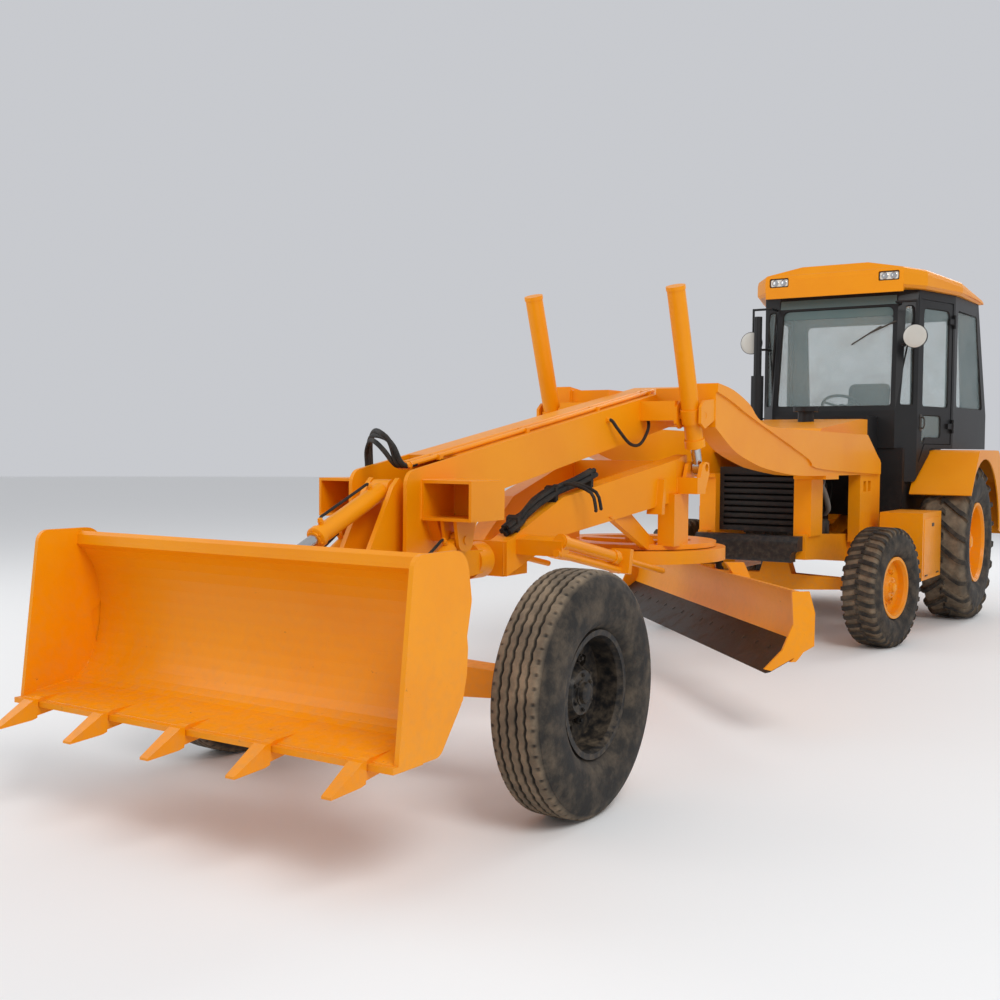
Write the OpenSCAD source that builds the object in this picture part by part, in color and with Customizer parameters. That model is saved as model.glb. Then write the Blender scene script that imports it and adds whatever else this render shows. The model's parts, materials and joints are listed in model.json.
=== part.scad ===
// Motor grader on a tractor rear half, with a toothed loader bucket ahead of its front axle.
// X is to the machine's left, -Y is its front and Z is up. Lengths are in millimetres.
// Inside the modules Y is measured from the front axle, rearward, and Z from the ground.

/* [Layout] */
// From the front axle forward to the tooth tips
front_reach = 1480; // [1440:1:1600]
// From the front axle to the tractor's steered axle
mid_axle_y = 5355; // [5300:1:5400]
// From the front axle to the driven rear axle
rear_axle_y = 7530; // [7500:1:7560]
// From the front axle to the face of the rear frame
rear_end_y = 8900; // [8850:1:9100]

/* [Front wheels] */
// Radius of the front tyres
fw_r = 527.5; // [515:0.5:540]
// Width of the front tyres
fw_w = 270; // [250:1:280]
// Distance between the middles of the front tyres
fw_track = 1998; // [1960:1:2040]
// Radius of the front rims at the bead
fw_rim_r = 254; // [240:1:265]
// Width of the front rims over their flanges
fw_rim_w = 196; // [180:1:210]
// Distance between the front kingpins
fw_kingpins = 1400; // [1380:1:1420]

/* [Middle wheels] */
// Radius of the middle tyres
mw_r = 482.5; // [475:0.5:490]
// Width of the middle tyres
mw_w = 305; // [290:1:310]
// Distance between the middles of the middle tyres
mw_track = 1777; // [1760:1:1800]
// Radius of the middle rims at the bead
mw_rim_r = 229; // [215:1:240]
// Width of the middle rims over their flanges
mw_rim_w = 236; // [220:1:250]
// Distance between the middle kingpins
mw_kingpins = 1240; // [1220:1:1250]
// How far the middle wheels are steered to the right as parked
mw_steer = 9; // [0:0.5:12]

/* [Rear wheels] */
// Radius of the rear tyres
rw_r = 725; // [710:1:735]
// Width of the rear tyres
rw_w = 430; // [400:1:440]
// Distance between the middles of the rear tyres
rw_track = 2010; // [2000:1:2020]
// Radius of the rear rims at the bead
rw_rim_r = 356; // [340:1:370]
// Width of the rear rims over their flanges
rw_rim_w = 366; // [350:1:380]

/* [Beam] */
// Width of the main beam
beam_w = 340; // [300:1:360]
// Height of the main beam, square to its length
beam_h = 240; // [200:1:260]
// Height of the beam's top at its front end
beam_front_z = 1455; // [1440:1:1470]
// Height of the beam's top at its peak
beam_peak_z = 1990; // [1970:1:2010]
// From the front axle to the beam's peak
beam_peak_y = 2900; // [2850:1:2950]
// Thickness of the plates of the frame
plate_t = 20; // [12:1:25]

/* [Gooseneck] */
// Distance between the outer faces of the gooseneck's arms
neck_w = 1200; // [1180:1:1220]
// Width of each arm
neck_arm_w = 150; // [130:1:155]
// From the front axle to the arms' rear end
neck_end_y = 6290; // [6250:1:6320]

/* [Grader blade] */
// Length of the grader blade
blade_len = 3100; // [2900:1:3150]
// Angle of the blade from square across the machine, left end leading
blade_angle = 47; // [30:1:55]
// Inner radius of the blade's curve
blade_curve_r = 290; // [270:1:310]
// Thickness of the blade's plate
blade_t = 22; // [16:1:28]
// Height of the cutting edge above the ground
blade_clear = 377; // [360:1:400]
// Radius of the turning circle
circle_r = 580; // [560:1:600]
// From the front axle to the turning circle's middle
circle_y = 2600; // [2560:1:2640]

/* [Blade lift] */
// Distance between the two blade lift cylinders
lift_w = 980; // [970:1:990]
// Outer radius of the lift cylinders' barrels
lift_r = 55; // [45:1:58]
// Length of the barrels above their trunnions
lift_len = 790; // [700:1:820]
// Radius of the lift rods
lift_rod_r = 30; // [22:1:32]

/* [Bucket] */
// Width of the bucket over its side plates
bucket_w = 2036; // [1980:1:2060]
// Thickness of the bucket's wrapped plate
bucket_t = 16; // [10:1:20]
// Thickness of the bucket's side plates
bucket_side_t = 20; // [12:1:25]
// Number of teeth
tooth_n = 5; // [3:1:7]
// Distance from the first tooth to the last
tooth_span = 1760; // [1600:10:1800]
// Width of each tooth
tooth_w = 60; // [40:1:80]

/* [Tractor] */
// Width of the bonnet
bonnet_w = 886; // [860:1:890]
// Height of the bonnet's top at its rear
bonnet_z = 1865; // [1850:1:1880]
// Distance between the outer faces of the chassis rails
rail_w = 900; // [880:1:910]
// Width of the cab across its windscreen
cab_front_w = 1170; // [1150:1:1190]
// Width of the cab across its rear
cab_rear_w = 2080; // [2060:1:2100]
// Height of the cab walls' top edge
cab_top_z = 3080; // [3040:1:3100]
// Thickness of the cab's walls and posts
cab_wall = 50; // [40:1:60]
// Thickness of the window panes
glass_t = 6; // [4:1:8]
// Width across the two rear fenders
fender_w = 2500; // [2480:1:2520]

/* [Hidden] */
$fn = 48;
// The shift that centres the length
row_y = (rear_end_y - front_reach) / 2;
run_gap = 0.06;
side_gap = 6;
seat_gap = 0.3;
slope = atan((beam_peak_z - beam_front_z) / (beam_peak_y + 100));
orange = [0.93, 0.55, 0.05];
black = [0.08, 0.08, 0.09];
steel = [0.55, 0.56, 0.58];
rubber = [0.12, 0.12, 0.12];
pane = [0.65, 0.75, 0.78, 0.4];

// Solids between two faces on X, Y or Z
module xcyl(r, x0, x1, y, z) {
    translate([x0, y, z]) rotate([0, 90, 0]) cylinder(r=r, h=x1 - x0);
}

module ycyl(r, y0, y1, x, z) {
    translate([x, y1, z]) rotate([90, 0, 0]) cylinder(r=r, h=y1 - y0);
}

module zcyl(r, z0, z1, x, y) {
    translate([x, y, z0]) cylinder(r=r, h=z1 - z0);
}

// A side outline in (Y, Z), carried from x0 to x1
module side(points, x0, x1) {
    translate([x0, 0, 0]) rotate([90, 0, 90]) linear_extrude(x1 - x0) polygon(points);
}

// A front outline in (X, Z), carried from y0 to y1
module front(points, y0, y1) {
    translate([0, y1, 0]) rotate([90, 0, 0]) linear_extrude(y1 - y0) polygon(points);
}

// A plan outline in (X, Y), carried from z0 to z1
module plan(points, z0, z1) {
    translate([0, 0, z0]) linear_extrude(z1 - z0) polygon(points);
}

module box(x0, x1, y0, y1, z0, z1) {
    translate([x0, y0, z0]) cube([x1 - x0, y1 - y0, z1 - z0]);
}

module both() {
    children();
    mirror([1, 0, 0]) children();
}

function unit(v) = v / norm(v);

// The corner b of an outline, rounded by the radius b[2] in n steps
function round_corner(a, b, c, n) = let (
    p = [b[0], b[1]],
    u = unit([a[0] - b[0], a[1] - b[1]]),
    v = unit([c[0] - b[0], c[1] - b[1]]),
    half = acos(u * v) / 2,
    m = p + unit(u + v) * b[2] / sin(half),
    s = p + u * b[2] / tan(half) - m,
    e = p + v * b[2] / tan(half) - m,
    a0 = atan2(s[1], s[0]),
    d = atan2(s[0] * e[1] - s[1] * e[0], s * e)
) [for (i = [0:n]) m + b[2] * [cos(a0 + d * i / n), sin(a0 + d * i / n)]];

// An outline of [a, b] and [a, b, radius] corners
function rounded(p, n = 5) = [for (i = [0:len(p) - 1]) each (len(p[i]) < 3
    ? [p[i]]
    : round_corner(p[(i + len(p) - 1) % len(p)], p[i], p[(i + 1) % len(p)], n))];

// A smooth path through points, with n steps between each two
function spline(p, n) = [
    for (i = [0:len(p) - 2]) for (k = [0:n - 1])
        let (a = p[max(i - 1, 0)], b = p[i], c = p[i + 1], d = p[min(i + 2, len(p) - 1)], t = k / n)
            0.5 * (2 * b + (c - a) * t + (2 * a - 5 * b + 4 * c - d) * t * t
                   + (3 * b - 3 * c + d - a) * t * t * t),
    p[len(p) - 1]
];

// An outline that runs anticlockwise, moved inward by d
function inset(p, d) = [for (i = [0:len(p) - 1]) let (
    a = p[(i + len(p) - 1) % len(p)], b = p[i], c = p[(i + 1) % len(p)],
    u = unit(b - a), v = unit(c - b), m = [-u[1], u[0]], n = [-v[1], v[0]]
) b + d * (m + n) / (1 + m * n)];

// An open path made into a band, t thick on its left
function band(p, t) = let (last = len(p) - 1) concat(p, [for (i = [last:-1:0]) let (
    u = unit(p[max(i, 1)] - p[max(i, 1) - 1]), v = unit(p[min(i, last - 1) + 1] - p[min(i, last - 1)]),
    m = [-u[1], u[0]], n = [-v[1], v[0]]
) p[i] + t * (m + n) / (1 + m * n)]);

// A closed solid through rings of points, each anticlockwise about the way on
module skin(rings) {
    n = len(rings[0]);
    m = len(rings);
    polyhedron(
        points=[for (ring = rings) each ring],
        faces=concat(
            [[for (i = [0:n - 1]) i]],
            [[for (i = [n - 1:-1:0]) (m - 1) * n + i]],
            [for (k = [0:m - 2]) for (i = [0:n - 1]) each (
                let (a = k * n + i, b = k * n + (i + 1) % n) [[a, a + n, b + n], [a, b + n, b]])]
        ));
}

// Plan outlines of one length, each [height, points], joined by a skin
module loft(levels) {
    skin([for (l = levels) [for (q = l[1]) [q[0], q[1], l[0]]]]);
}

function hose_ring(p, t, r, n) = let (s = unit([1, 0, 0] - t * t[0]), u = cross(t, s))
    [for (i = [0:n - 1]) p + r * (cos(360 * i / n) * s + sin(360 * i / n) * u)];

// A hose of radius r along a path that doesn't run along X
module hose(path, r, n = 8) {
    last = len(path) - 1;
    skin([for (i = [0:last])
        hose_ring(path[i], unit(path[min(i + 1, last)] - path[max(i - 1, 0)]), r, n)]);
}

// Turns its children about an X line through (y, z)
module tilted(angle, y, z) {
    translate([0, y, z]) rotate([angle, 0, 0]) translate([0, -y, -z]) children();
}

module at_row() {
    translate([-row_x, -row_y, 0]) children();
}

// Main beam and head

beam_front_y = 330;
head_rear_y = 560;
beam_rear_y = 3250;
head_front_y = -110;
head_w = 340;
cheek_t = plate_t;
head_low_z = 660;

function beam_top(y) = beam_front_z + (y + 100) * tan(slope);

ear_t = 14;
pipe_r = 13;
pipe_places = [60, 110];
ear_x = 450;
ear_z0 = 1230;
ear_z1 = 1416;

function beam_outline() = [
    [beam_front_y, beam_top(beam_front_y) - beam_h], [beam_peak_y, beam_peak_z - beam_h],
    [beam_rear_y, beam_peak_z - beam_h - 20], [beam_rear_y, beam_peak_z],
    [beam_peak_y, beam_peak_z], [beam_front_y, beam_top(beam_front_y)]
];

module beam_tube() {
    difference() {
        side(beam_outline(), -beam_w / 2, beam_w / 2);
        side([
            [beam_front_y - 1, beam_top(beam_front_y) - beam_h + plate_t],
            [beam_peak_y - 600, beam_top(beam_peak_y - 600) - beam_h + plate_t],
            [beam_peak_y - 600, beam_top(beam_peak_y - 600) - plate_t],
            [beam_front_y - 1, beam_top(beam_front_y) - plate_t]
        ], -beam_w / 2 + plate_t, beam_w / 2 - plate_t);
    }
}

// Two cheek plates that carry the beam, the loader's pins and the axle's pin
module head() {
    both() side(rounded([
        [head_front_y, beam_top(head_front_y), 70], [beam_front_y, beam_top(beam_front_y)],
        [beam_front_y, beam_top(beam_front_y) - beam_h - 0.02],
        [head_rear_y, beam_top(head_rear_y) - beam_h - 0.02],
        [360, 1040, 120], [150, head_low_z, 40], [-120, head_low_z, 30], [-120, 850], [head_front_y, 1150]
    ]), head_w / 2 - cheek_t, head_w / 2);
    both() xcyl(62, head_w / 2, head_w / 2 + 16, arm_y, arm_z);
    for (y = [-60, 40])
        box(-head_w / 2 + cheek_t - 1, head_w / 2 - cheek_t + 1, y, y + 14, head_low_z + 40, 800);
    box(-head_w / 2, head_w / 2, 130, 130 + plate_t, head_low_z + 40, 1000);
    nose_socket();
    box(-head_w / 2, head_w / 2, -120, 120, head_low_z, head_low_z + 60);
}

// Carries the ball at the drawbar's nose
module nose_socket() {
    difference() {
        union() {
            ycyl(95, nose_y - 90, nose_y + 30, 0, nose_z);
            ycyl(62, 140, nose_y - 89, 0, nose_z);
            both() side([[250, 900], [250, 1060], [nose_y - 60, nose_z + 60], [nose_y - 60,
                nose_z - 60]], 60, 80);
            box(-head_w / 2, head_w / 2, 250, 270, 900, 1060);
        }
        translate([0, nose_y, nose_z]) rotate([-90, 0, 0]) sphere(r=ball_r + run_gap);
        translate([0, nose_y + 20, nose_z]) rotate([-90, 0, 0]) cylinder(r1=50, r2=70, h=20);
    }
}

// Open boxes beside the head, which carry the loader's lift cylinders
module ears() {
    both() {
        difference() {
            box(head_w / 2, ear_x, 0, 280, ear_z0, ear_z1);
            box(head_w / 2 + ear_t, ear_x - ear_t, -1, 250, ear_z0 + ear_t, ear_z1 - ear_t);
        }
        side([[40, ear_z0], [240, ear_z0], [150, 1130], [90, 1130]], head_w / 2, head_w / 2 + 60);
        for (x = [ear_lug_x - 45, ear_lug_x + 27])
            side(rounded([[20, ear_z0], [50, 1090, 40], [150, 1090, 40], [180, ear_z0]]), x, x + 18);
    }
}

// Two pipes laid along the beam's top, with the turned-up ends that the hoses start from
module beam_pipes() {
    color(steel) for (x = pipe_places) {
        hose(spline([for (q = [[-40, 18], [40, 16], [300, 15], [900, 15], [1800, 15], [2600, 15]])
            [x, q[0], beam_top(q[0]) + q[1]]], 2), pipe_r, 10);
        for (y = [200, 1000, 1800, 2500])
            side([[y, beam_top(y)], [y + 30, beam_top(y + 30)], [y + 30, beam_top(y + 30) + 25],
                  [y, beam_top(y) + 25]], x - 22, x + 22);
    }
}

module main_beam() {
    color(orange) beam_tube();
}

module beam_head() {
    color(orange) {
        difference() {
            union() {
                head();
                ears();
                axle_pin_lugs();
            }
            xcyl(arm_pin_r + run_gap, -head_w / 2 - 20, head_w / 2 + 20, arm_y, arm_z);
            both() xcyl(loader_pin_r + run_gap, ear_lug_x - 60, ear_lug_x + 60, loader_y, loader_z);
        }
    }
}

// Front axle, hung on a pin along Y below the head

axle_z = fw_r;
axle_h = 150;
axle_d = 150;
axle_pin_z = 620;
kingpin_r = 32;

module axle_pin_lugs() {
    for (y = [-120, 100])
        difference() {
            front([[-90, head_low_z + 20], [-90, axle_pin_z], [-50, axle_pin_z - 60],
                   [50, axle_pin_z - 60], [90, axle_pin_z], [90, head_low_z + 20]], y, y + plate_t);
            ycyl(30 + run_gap, y - 1, y + plate_t + 1, 0, axle_pin_z);
        }
}

module front_axle() {
    color(orange) {
        ycyl(30, -130, 130, 0, axle_pin_z);
        ycyl(38, -98, 98, 0, axle_pin_z);
        front([
            [-120, axle_z - axle_h / 2 - 20], [120, axle_z - axle_h / 2 - 20],
            [fw_kingpins / 2 - 60, axle_z - 60], [fw_kingpins / 2 - 60, axle_z + 60],
            [130, axle_z + axle_h / 2], [70, axle_pin_z + 30], [-70, axle_pin_z + 30],
            [-130, axle_z + axle_h / 2],
            [-fw_kingpins / 2 + 60, axle_z + 60], [-fw_kingpins / 2 + 60, axle_z - 60]
        ], -axle_d / 2, axle_d / 2);
        both() difference() {
            zcyl(axle_d / 2, axle_z - 70, axle_z + 70, fw_kingpins / 2, 0);
            zcyl(kingpin_r + run_gap, axle_z - 71, axle_z + 71, fw_kingpins / 2, 0);
        }
    }
}

// A fork round an axle's end, its kingpin and the stub axle that the wheel turns on
module knuckle(pin_x, z, boss_h, boss_r, stub_end, stub_r) {
    zcyl(kingpin_r, z - boss_h / 2 - side_gap - 25, z + boss_h / 2 + side_gap + 25, pin_x, 0);
    for (z0 = [z - boss_h / 2 - side_gap - 30, z + boss_h / 2 + side_gap]) {
        zcyl(boss_r, z0, z0 + 30, pin_x, 0);
        box(pin_x, pin_x + boss_r + side_gap + 30, -boss_r * 0.8, boss_r * 0.8, z0, z0 + 30);
    }
    box(pin_x + boss_r + side_gap, pin_x + boss_r + side_gap + 30, -boss_r * 0.8, boss_r * 0.8,
        z - boss_h / 2 - side_gap - 30, z + boss_h / 2 + side_gap + 30);
    xcyl(stub_r, pin_x + boss_r + side_gap + 10, stub_end, 0, z);
}

stub_r = 34;
front_stub_end = fw_track / 2 - 10;
front_hub_in = fw_kingpins / 2 + axle_d / 2 + side_gap + 30 + side_gap;

module front_knuckle() {
    color(orange) knuckle(fw_kingpins / 2, axle_z, 140, axle_d / 2, front_stub_end, stub_r);
}

// Wheels

// A rim turned about X: barrel between two flanges, a dished disc and a hub with its bore
module rim(r, w, disc_out, hub_r, hub_in, hub_out, bore_r, bore_out, hole_n, hole_r, hole_at) {
    difference() {
        rotate([0, 90, 0]) rotate_extrude($fn=72) polygon([
            [r, -w / 2 + 22], [r, w / 2 - 22], [r + 20, w / 2 - 14], [r + 20, w / 2],
            [r - 4, w / 2], [r - 14, w / 2 - 26],
            [r - 14, disc_out + 12], [r * 0.62, disc_out + 2], [hub_r + 40, disc_out + 2],
            [hub_r, hub_out], [0, hub_out], [0, hub_in], [hub_r, hub_in],
            [hub_r + 10, disc_out - 18], [r * 0.6, disc_out - 18], [r - 14, disc_out - 8],
            [r - 14, -w / 2 + 26], [r - 4, -w / 2], [r + 20, -w / 2], [r + 20, -w / 2 + 14]
        ]);
        xcyl(bore_r, hub_in - 1, bore_out, 0, 0);
        for (i = [0:hole_n - 1])
            rotate([360 * i / hole_n, 0, 0]) xcyl(hole_r, disc_out - 60, disc_out + 60, hole_at, 0);
    }
}

// A tyre turned about X: bead, bulged wall, shoulder and crown
module tyre(r, w, rim_r, rim_w) {
    wall = r - rim_r - 22;
    wall_shape = [[0.12, 0.43], [0.3, 0.485], [0.5, 0.5], [0.68, 0.485], [0.84, 0.44],
                  [0.93, 0.40], [0.985, 0.36], [1, 0.30]];
    rotate([0, 90, 0]) rotate_extrude($fn=96) polygon(concat(
        [[rim_r, -rim_w / 2 + 22 + seat_gap], [rim_r + 22, -rim_w / 2 + 14 + seat_gap]],
        [for (i = [0:7]) [rim_r + 22 + wall * wall_shape[i][0], -w * wall_shape[i][1]]],
        [for (i = [7:-1:0]) [rim_r + 22 + wall * wall_shape[i][0], w * wall_shape[i][1]]],
        [[rim_r + 22, rim_w / 2 - 14 - seat_gap], [rim_r, rim_w / 2 - 22 - seat_gap]]
    ));
}

// Bars across a tyre's tread, cut to its crown: n on each side, turned by skew from straight across
module lugs(r, w, h, n, skew, bar, reach, overlap) {
    intersection() {
        rotate([0, 90, 0]) rotate_extrude($fn=72) polygon([
            [r - h - 12, -w / 2 + reach], [r - h * 0.9, -w / 2 + reach - 8], [r - 9, -w / 2 + reach],
            [r - 1, -w / 4], [r, -w / 8], [r, w / 8], [r - 1, w / 4], [r - 9, w / 2 - reach],
            [r - h * 0.9, w / 2 - reach + 8], [r - h - 12, w / 2 - reach]
        ]);
        for (i = [0:n - 1]) for (k = [0, 1])
            rotate([360 * (i + k / 2) / n, 0, 0]) mirror([k, 0, 0])
                translate([w / 4 - overlap, 0, r - h / 2]) rotate([0, 0, skew])
                    translate([-w / 3, -bar / 2, -h]) cube([w * 2 / 3, bar, h * 2]);
    }
}

module front_rim() {
    color(black) translate([fw_track / 2, 0, axle_z])
        rim(fw_rim_r - 0.2, fw_rim_w, -38, 95, front_hub_in - fw_track / 2, 30,
            stub_r + run_gap, front_stub_end - fw_track / 2 + 8, 8, 26, 165);
}

module front_tyre() {
    color(rubber) translate([fw_track / 2, 0, axle_z]) tyre(fw_r, fw_w, fw_rim_r, fw_rim_w);
}

mid_lug_h = 16;
mid_lug_n = 36;
mid_boss_h = 120;
mid_boss_r = 55;
mid_stub_end = mw_track / 2 + 30;
mid_hub_in = mw_kingpins / 2 + mid_boss_r + side_gap + 30 + side_gap;

// Places the middle wheels' pieces, drawn about the axle's middle and steered as parked
module mid_place(side_sign) {
    translate([side_sign * mw_kingpins / 2, mid_axle_y, 0]) rotate([0, 0, -mw_steer])
        translate([-side_sign * mw_kingpins / 2, 0, 0])
            mirror([side_sign < 0 ? 1 : 0, 0, 0]) children();
}

module mid_knuckle() {
    color(orange) knuckle(mw_kingpins / 2, mw_r, mid_boss_h, mid_boss_r, mid_stub_end, stub_r);
}

module mid_rim() {
    color(orange) translate([mw_track / 2, 0, mw_r])
        rim(mw_rim_r - 0.2, mw_rim_w, 35, 80, mid_hub_in - mw_track / 2, 85,
            stub_r + run_gap, mid_stub_end - mw_track / 2 + 8, 8, 20, 150);
}

module mid_tyre() {
    color(rubber) translate([mw_track / 2, 0, mw_r]) {
        tyre(mw_r - mid_lug_h, mw_w, mw_rim_r, mw_rim_w);
        lugs(mw_r, mw_w, mid_lug_h, mid_lug_n, 14, 36, 22, 10);
    }
}

rear_lug_h = 34;
rear_lug_n = 20;
rear_stub_r = 45;
rear_stub_end = rw_track / 2 + 20;
rear_hub_in = rw_track / 2 - rw_w / 2 + 20;

module rear_rim() {
    color(orange) translate([rw_track / 2, rear_axle_y, rw_r])
        rim(rw_rim_r - 0.2, rw_rim_w, 40, 120, rear_hub_in - rw_track / 2, 110,
            rear_stub_r + run_gap, rear_stub_end - rw_track / 2 + 8, 8, 30, 240);
}

module rear_tyre() {
    color(rubber) translate([rw_track / 2, rear_axle_y, rw_r]) {
        tyre(rw_r - rear_lug_h, rw_w, rw_rim_r, rw_rim_w);
        lugs(rw_r, rw_w, rear_lug_h, rear_lug_n, 42, 46, 16, 22);
    }
}

// Middle and rear axles

module mid_axle() {
    color(orange) translate([0, mid_axle_y, 0]) {
        front([
            [-140, mw_r - 75], [140, mw_r - 75], [mw_kingpins / 2 - 45, mw_r - 45],
            [mw_kingpins / 2 - 45, mw_r + 45], [140, mw_r + 60], [90, rail_z0_mid + 20],
            [-90, rail_z0_mid + 20], [-140, mw_r + 60],
            [-mw_kingpins / 2 + 45, mw_r + 45], [-mw_kingpins / 2 + 45, mw_r - 45]
        ], -60, 60);
        both() difference() {
            zcyl(mid_boss_r, mw_r - mid_boss_h / 2, mw_r + mid_boss_h / 2, mw_kingpins / 2, 0);
            zcyl(kingpin_r + run_gap, mw_r - mid_boss_h, mw_r + mid_boss_h, mw_kingpins / 2, 0);
        }
    }
}

module rear_axle() {
    color(orange) translate([0, rear_axle_y, rw_r]) {
        rotate([0, 90, 0]) rotate_extrude($fn=48) polygon([
            [0, -420], [95, -420], [120, -200], [230, -90], [230, 90], [120, 200], [95, 420], [0, 420]
        ]);
        both() {
            xcyl(130, 410, rear_hub_in - 30 - side_gap, 0, 0);
            xcyl(170, rear_hub_in - 70 - side_gap, rear_hub_in - side_gap, 0, 0);
            xcyl(rear_stub_r, 500, rear_stub_end, 0, 0);
            box(300, 420, -90, 90, 90, rail_z0_rear - rw_r + 10);
        }
    }
}

// Gooseneck arms from the beam's peak down to the tractor's towers

neck_in = neck_w / 2 - neck_arm_w;
neck_front_y = 2500;
neck_low_z = 1375;

function neck_under(y) = neck_low_z + 9 * (neck_end_y - y) / (neck_end_y - 4460);

module neck_arm() {
    low = concat([[neck_end_y, neck_low_z]], spline([[4460, 1384], [3976, 1397], [3431, 1445],
                  [3160, 1488], [2868, 1553], [2676, 1628], [neck_front_y, 1712]], 3));
    crease = spline([[neck_end_y, neck_low_z + 2], [5350, 1405], [4460, 1446], [4280, 1513],
                     [3620, 1667], [3040, 1800], [2750, 1877], [neck_front_y, 1930]], 3);
    top = concat(spline([[neck_front_y, 1985], [2755, 1954], [3037, 1877], [3200, 1790],
                         [3416, 1740], [3700, 1731]], 3),
                 [[5858, 1718], [neck_end_y, 1480]]);
    side(concat(top, low), neck_in, neck_w / 2 - 14);
    side(concat(top, crease), neck_w / 2 - 15, neck_w / 2);
}

trunnion_y = 2350;
trunnion_z = 1780;
trunnion_r = 22;
cheek_in = lift_w / 2 - 90;
cheek_out = lift_w / 2 + 72;

module trunnion_plates() {
    difference() {
        union() {
            for (x = [cheek_in, cheek_out])
                side([[trunnion_y - 60, trunnion_z - 50], [trunnion_y - 60, trunnion_z + 50],
                      [trunnion_y - 10, trunnion_z + 90], [neck_front_y + 40, trunnion_z + 110],
                      [neck_front_y + 40, trunnion_z - 10], [trunnion_y, trunnion_z - 80]], x, x + 18);
            box(beam_w / 2, cheek_in + 5, trunnion_y - 60, trunnion_y + 60,
                trunnion_z - 30, trunnion_z + 90);
        }
        xcyl(trunnion_r + run_gap, cheek_in - 10, cheek_out + 30, trunnion_y, trunnion_z);
    }
}

module gooseneck() {
    color(orange) {
        both() {
            neck_arm();
            trunnion_plates();
        }
        box(beam_w / 2, neck_in + 5, neck_front_y + 20, neck_front_y + 420, 1760, 1960);
        box(-neck_in - 5, -beam_w / 2, neck_front_y + 20, neck_front_y + 420, 1760, 1960);
    }
}

// Chassis rails, towers, posts and cross members

rail_t = 80;
rail_in = rail_w / 2 - rail_t;
rail_z0_mid = 680;
rail_z0_rear = 850;
tower_y0 = 5760;

module chassis() {
    color(orange) {
        both() {
            side([[4690, 720], [5000, 700], [5900, 620], [6500, 620], [6900, 860], [8450, 860],
                  [8450, 1000], [6700, 1000], [5900, 860], [4690, 920]], rail_in, rail_w / 2);
            box(330, 470, 4760, 5050, 900, neck_low_z - 5);
            side([[4740, neck_under(4740) - 30], [5070, neck_under(5070) - 30],
                  [5070, neck_under(5070)], [4740, neck_under(4740)]], 330, 590);
            difference() {
                side([[tower_y0, 800], [neck_end_y, 800], [neck_end_y + 90, 1000],
                      [neck_end_y + 90, 1500], [neck_end_y + seat_gap, 1540],
                      [neck_end_y + seat_gap, neck_low_z - seat_gap], [tower_y0, neck_under(tower_y0)]],
                     neck_in + 20, neck_w / 2 - 30);
                for (y = [5860, 6000])
                    box(neck_in, neck_w / 2, y, y + 85, 1230, 1320);
            }
        }
        for (y = [4700, 6150, 8300])
            box(-rail_in - 5, rail_in + 5, y, y + 60, y < 7000 ? 730 : 870, y < 7000 ? 850 : 990);
        box(-rail_in - 5, rail_in + 5, 5300, 5410, rail_z0_mid + 20, 760);
        both() box(rail_w / 2 - 5, neck_in + 25, tower_y0 + 60, neck_end_y, 640, 810);
    }
}

module counterweight() {
    color(black) difference() {
        side(rounded([[4560, 700, 30], [4690, 700], [4690, 905], [4600, 905, 20], [4560, 860, 20]]),
             -rail_w / 2 + 20, rail_w / 2 - 20);
        both() front(rounded([[-rail_w / 2, 650], [-rail_w / 2 + 75, 650], [-rail_w / 2 + 75, 790, 40],
                              [-rail_w / 2, 790]]), 4500, 4700);
    }
}

grille_y = 4850;

module grille() {
    color(black) {
        difference() {
            box(-330, 330, grille_y, grille_y + 130, 920, 1440);
            for (i = [0:8])
                box(-295, 295, grille_y - 1, grille_y + 40, 960 + i * 50, 988 + i * 50);
        }
        for (i = [0:8]) side([[grille_y + 2, 980 + i * 50], [grille_y + 42, 962 + i * 50],
                              [grille_y + 42, 968 + i * 50], [grille_y + 2, 986 + i * 50]], -296, 296);
    }
}

module engine() {
    color([0.2, 0.21, 0.2]) {
        box(-180, 180, 5060, 6150, 780, 1180);
        box(-150, 150, 5110, 5900, 1179, 1380);
        box(-200, 200, grille_y + 130, 5061, 950, 1380);
        both() {
            for (i = [0:3]) xcyl(34, 140, 215, 5200 + i * 170, 1270);
            ycyl(48, 5160, 5790, 232, 1270);
            zcyl(52, 900, 1090, 245, 5330);
            box(175, 215, 5280, 5380, 1010, 1060);
            xcyl(70, 178, 262, 5560, 960);
            ycyl(60, 5600, 5760, 215, 1060);
            box(178, 205, 5110, 6100, 800, 850);
        }
        ycyl(120, 5040, 5110, 0, 1130);
    }
}

// Bonnet, hinged at its rear

bonnet_y0 = 4990;
bonnet_y1 = 6400;
bonnet_front_z = 1760;
bonnet_t = 12;
hinge_z = bonnet_z - bonnet_t - 17;
cowl_y = 6432;

module bonnet() {
    color(orange) {
        difference() {
            side([[bonnet_y0, 1560], [bonnet_y0, bonnet_front_z - 60], [bonnet_y0 + 90, bonnet_front_z],
                  [bonnet_y1 - 200, bonnet_z], [bonnet_y1, bonnet_z], [bonnet_y1, 1640]],
                 -bonnet_w / 2, bonnet_w / 2);
            side([[bonnet_y0 + bonnet_t, 1500], [bonnet_y0 + bonnet_t, bonnet_front_z - 66],
                  [bonnet_y0 + 96, bonnet_front_z - bonnet_t],
                  [bonnet_y1 - 200, bonnet_z - bonnet_t], [bonnet_y1 + 1, bonnet_z - bonnet_t],
                  [bonnet_y1 + 1, 1600]],
                 -bonnet_w / 2 + bonnet_t, bonnet_w / 2 - bonnet_t);
        }
        both() difference() {
            xcyl(18, 190, 300, bonnet_y1 - 10, hinge_z);
            xcyl(10 + run_gap, 189, 301, bonnet_y1 - 10, hinge_z);
        }
    }
}

function bonnet_top(y) = bonnet_front_z + (y - bonnet_y0 - 90)
    * (bonnet_z - bonnet_front_z) / (bonnet_y1 - 200 - bonnet_y0 - 90);

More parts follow.
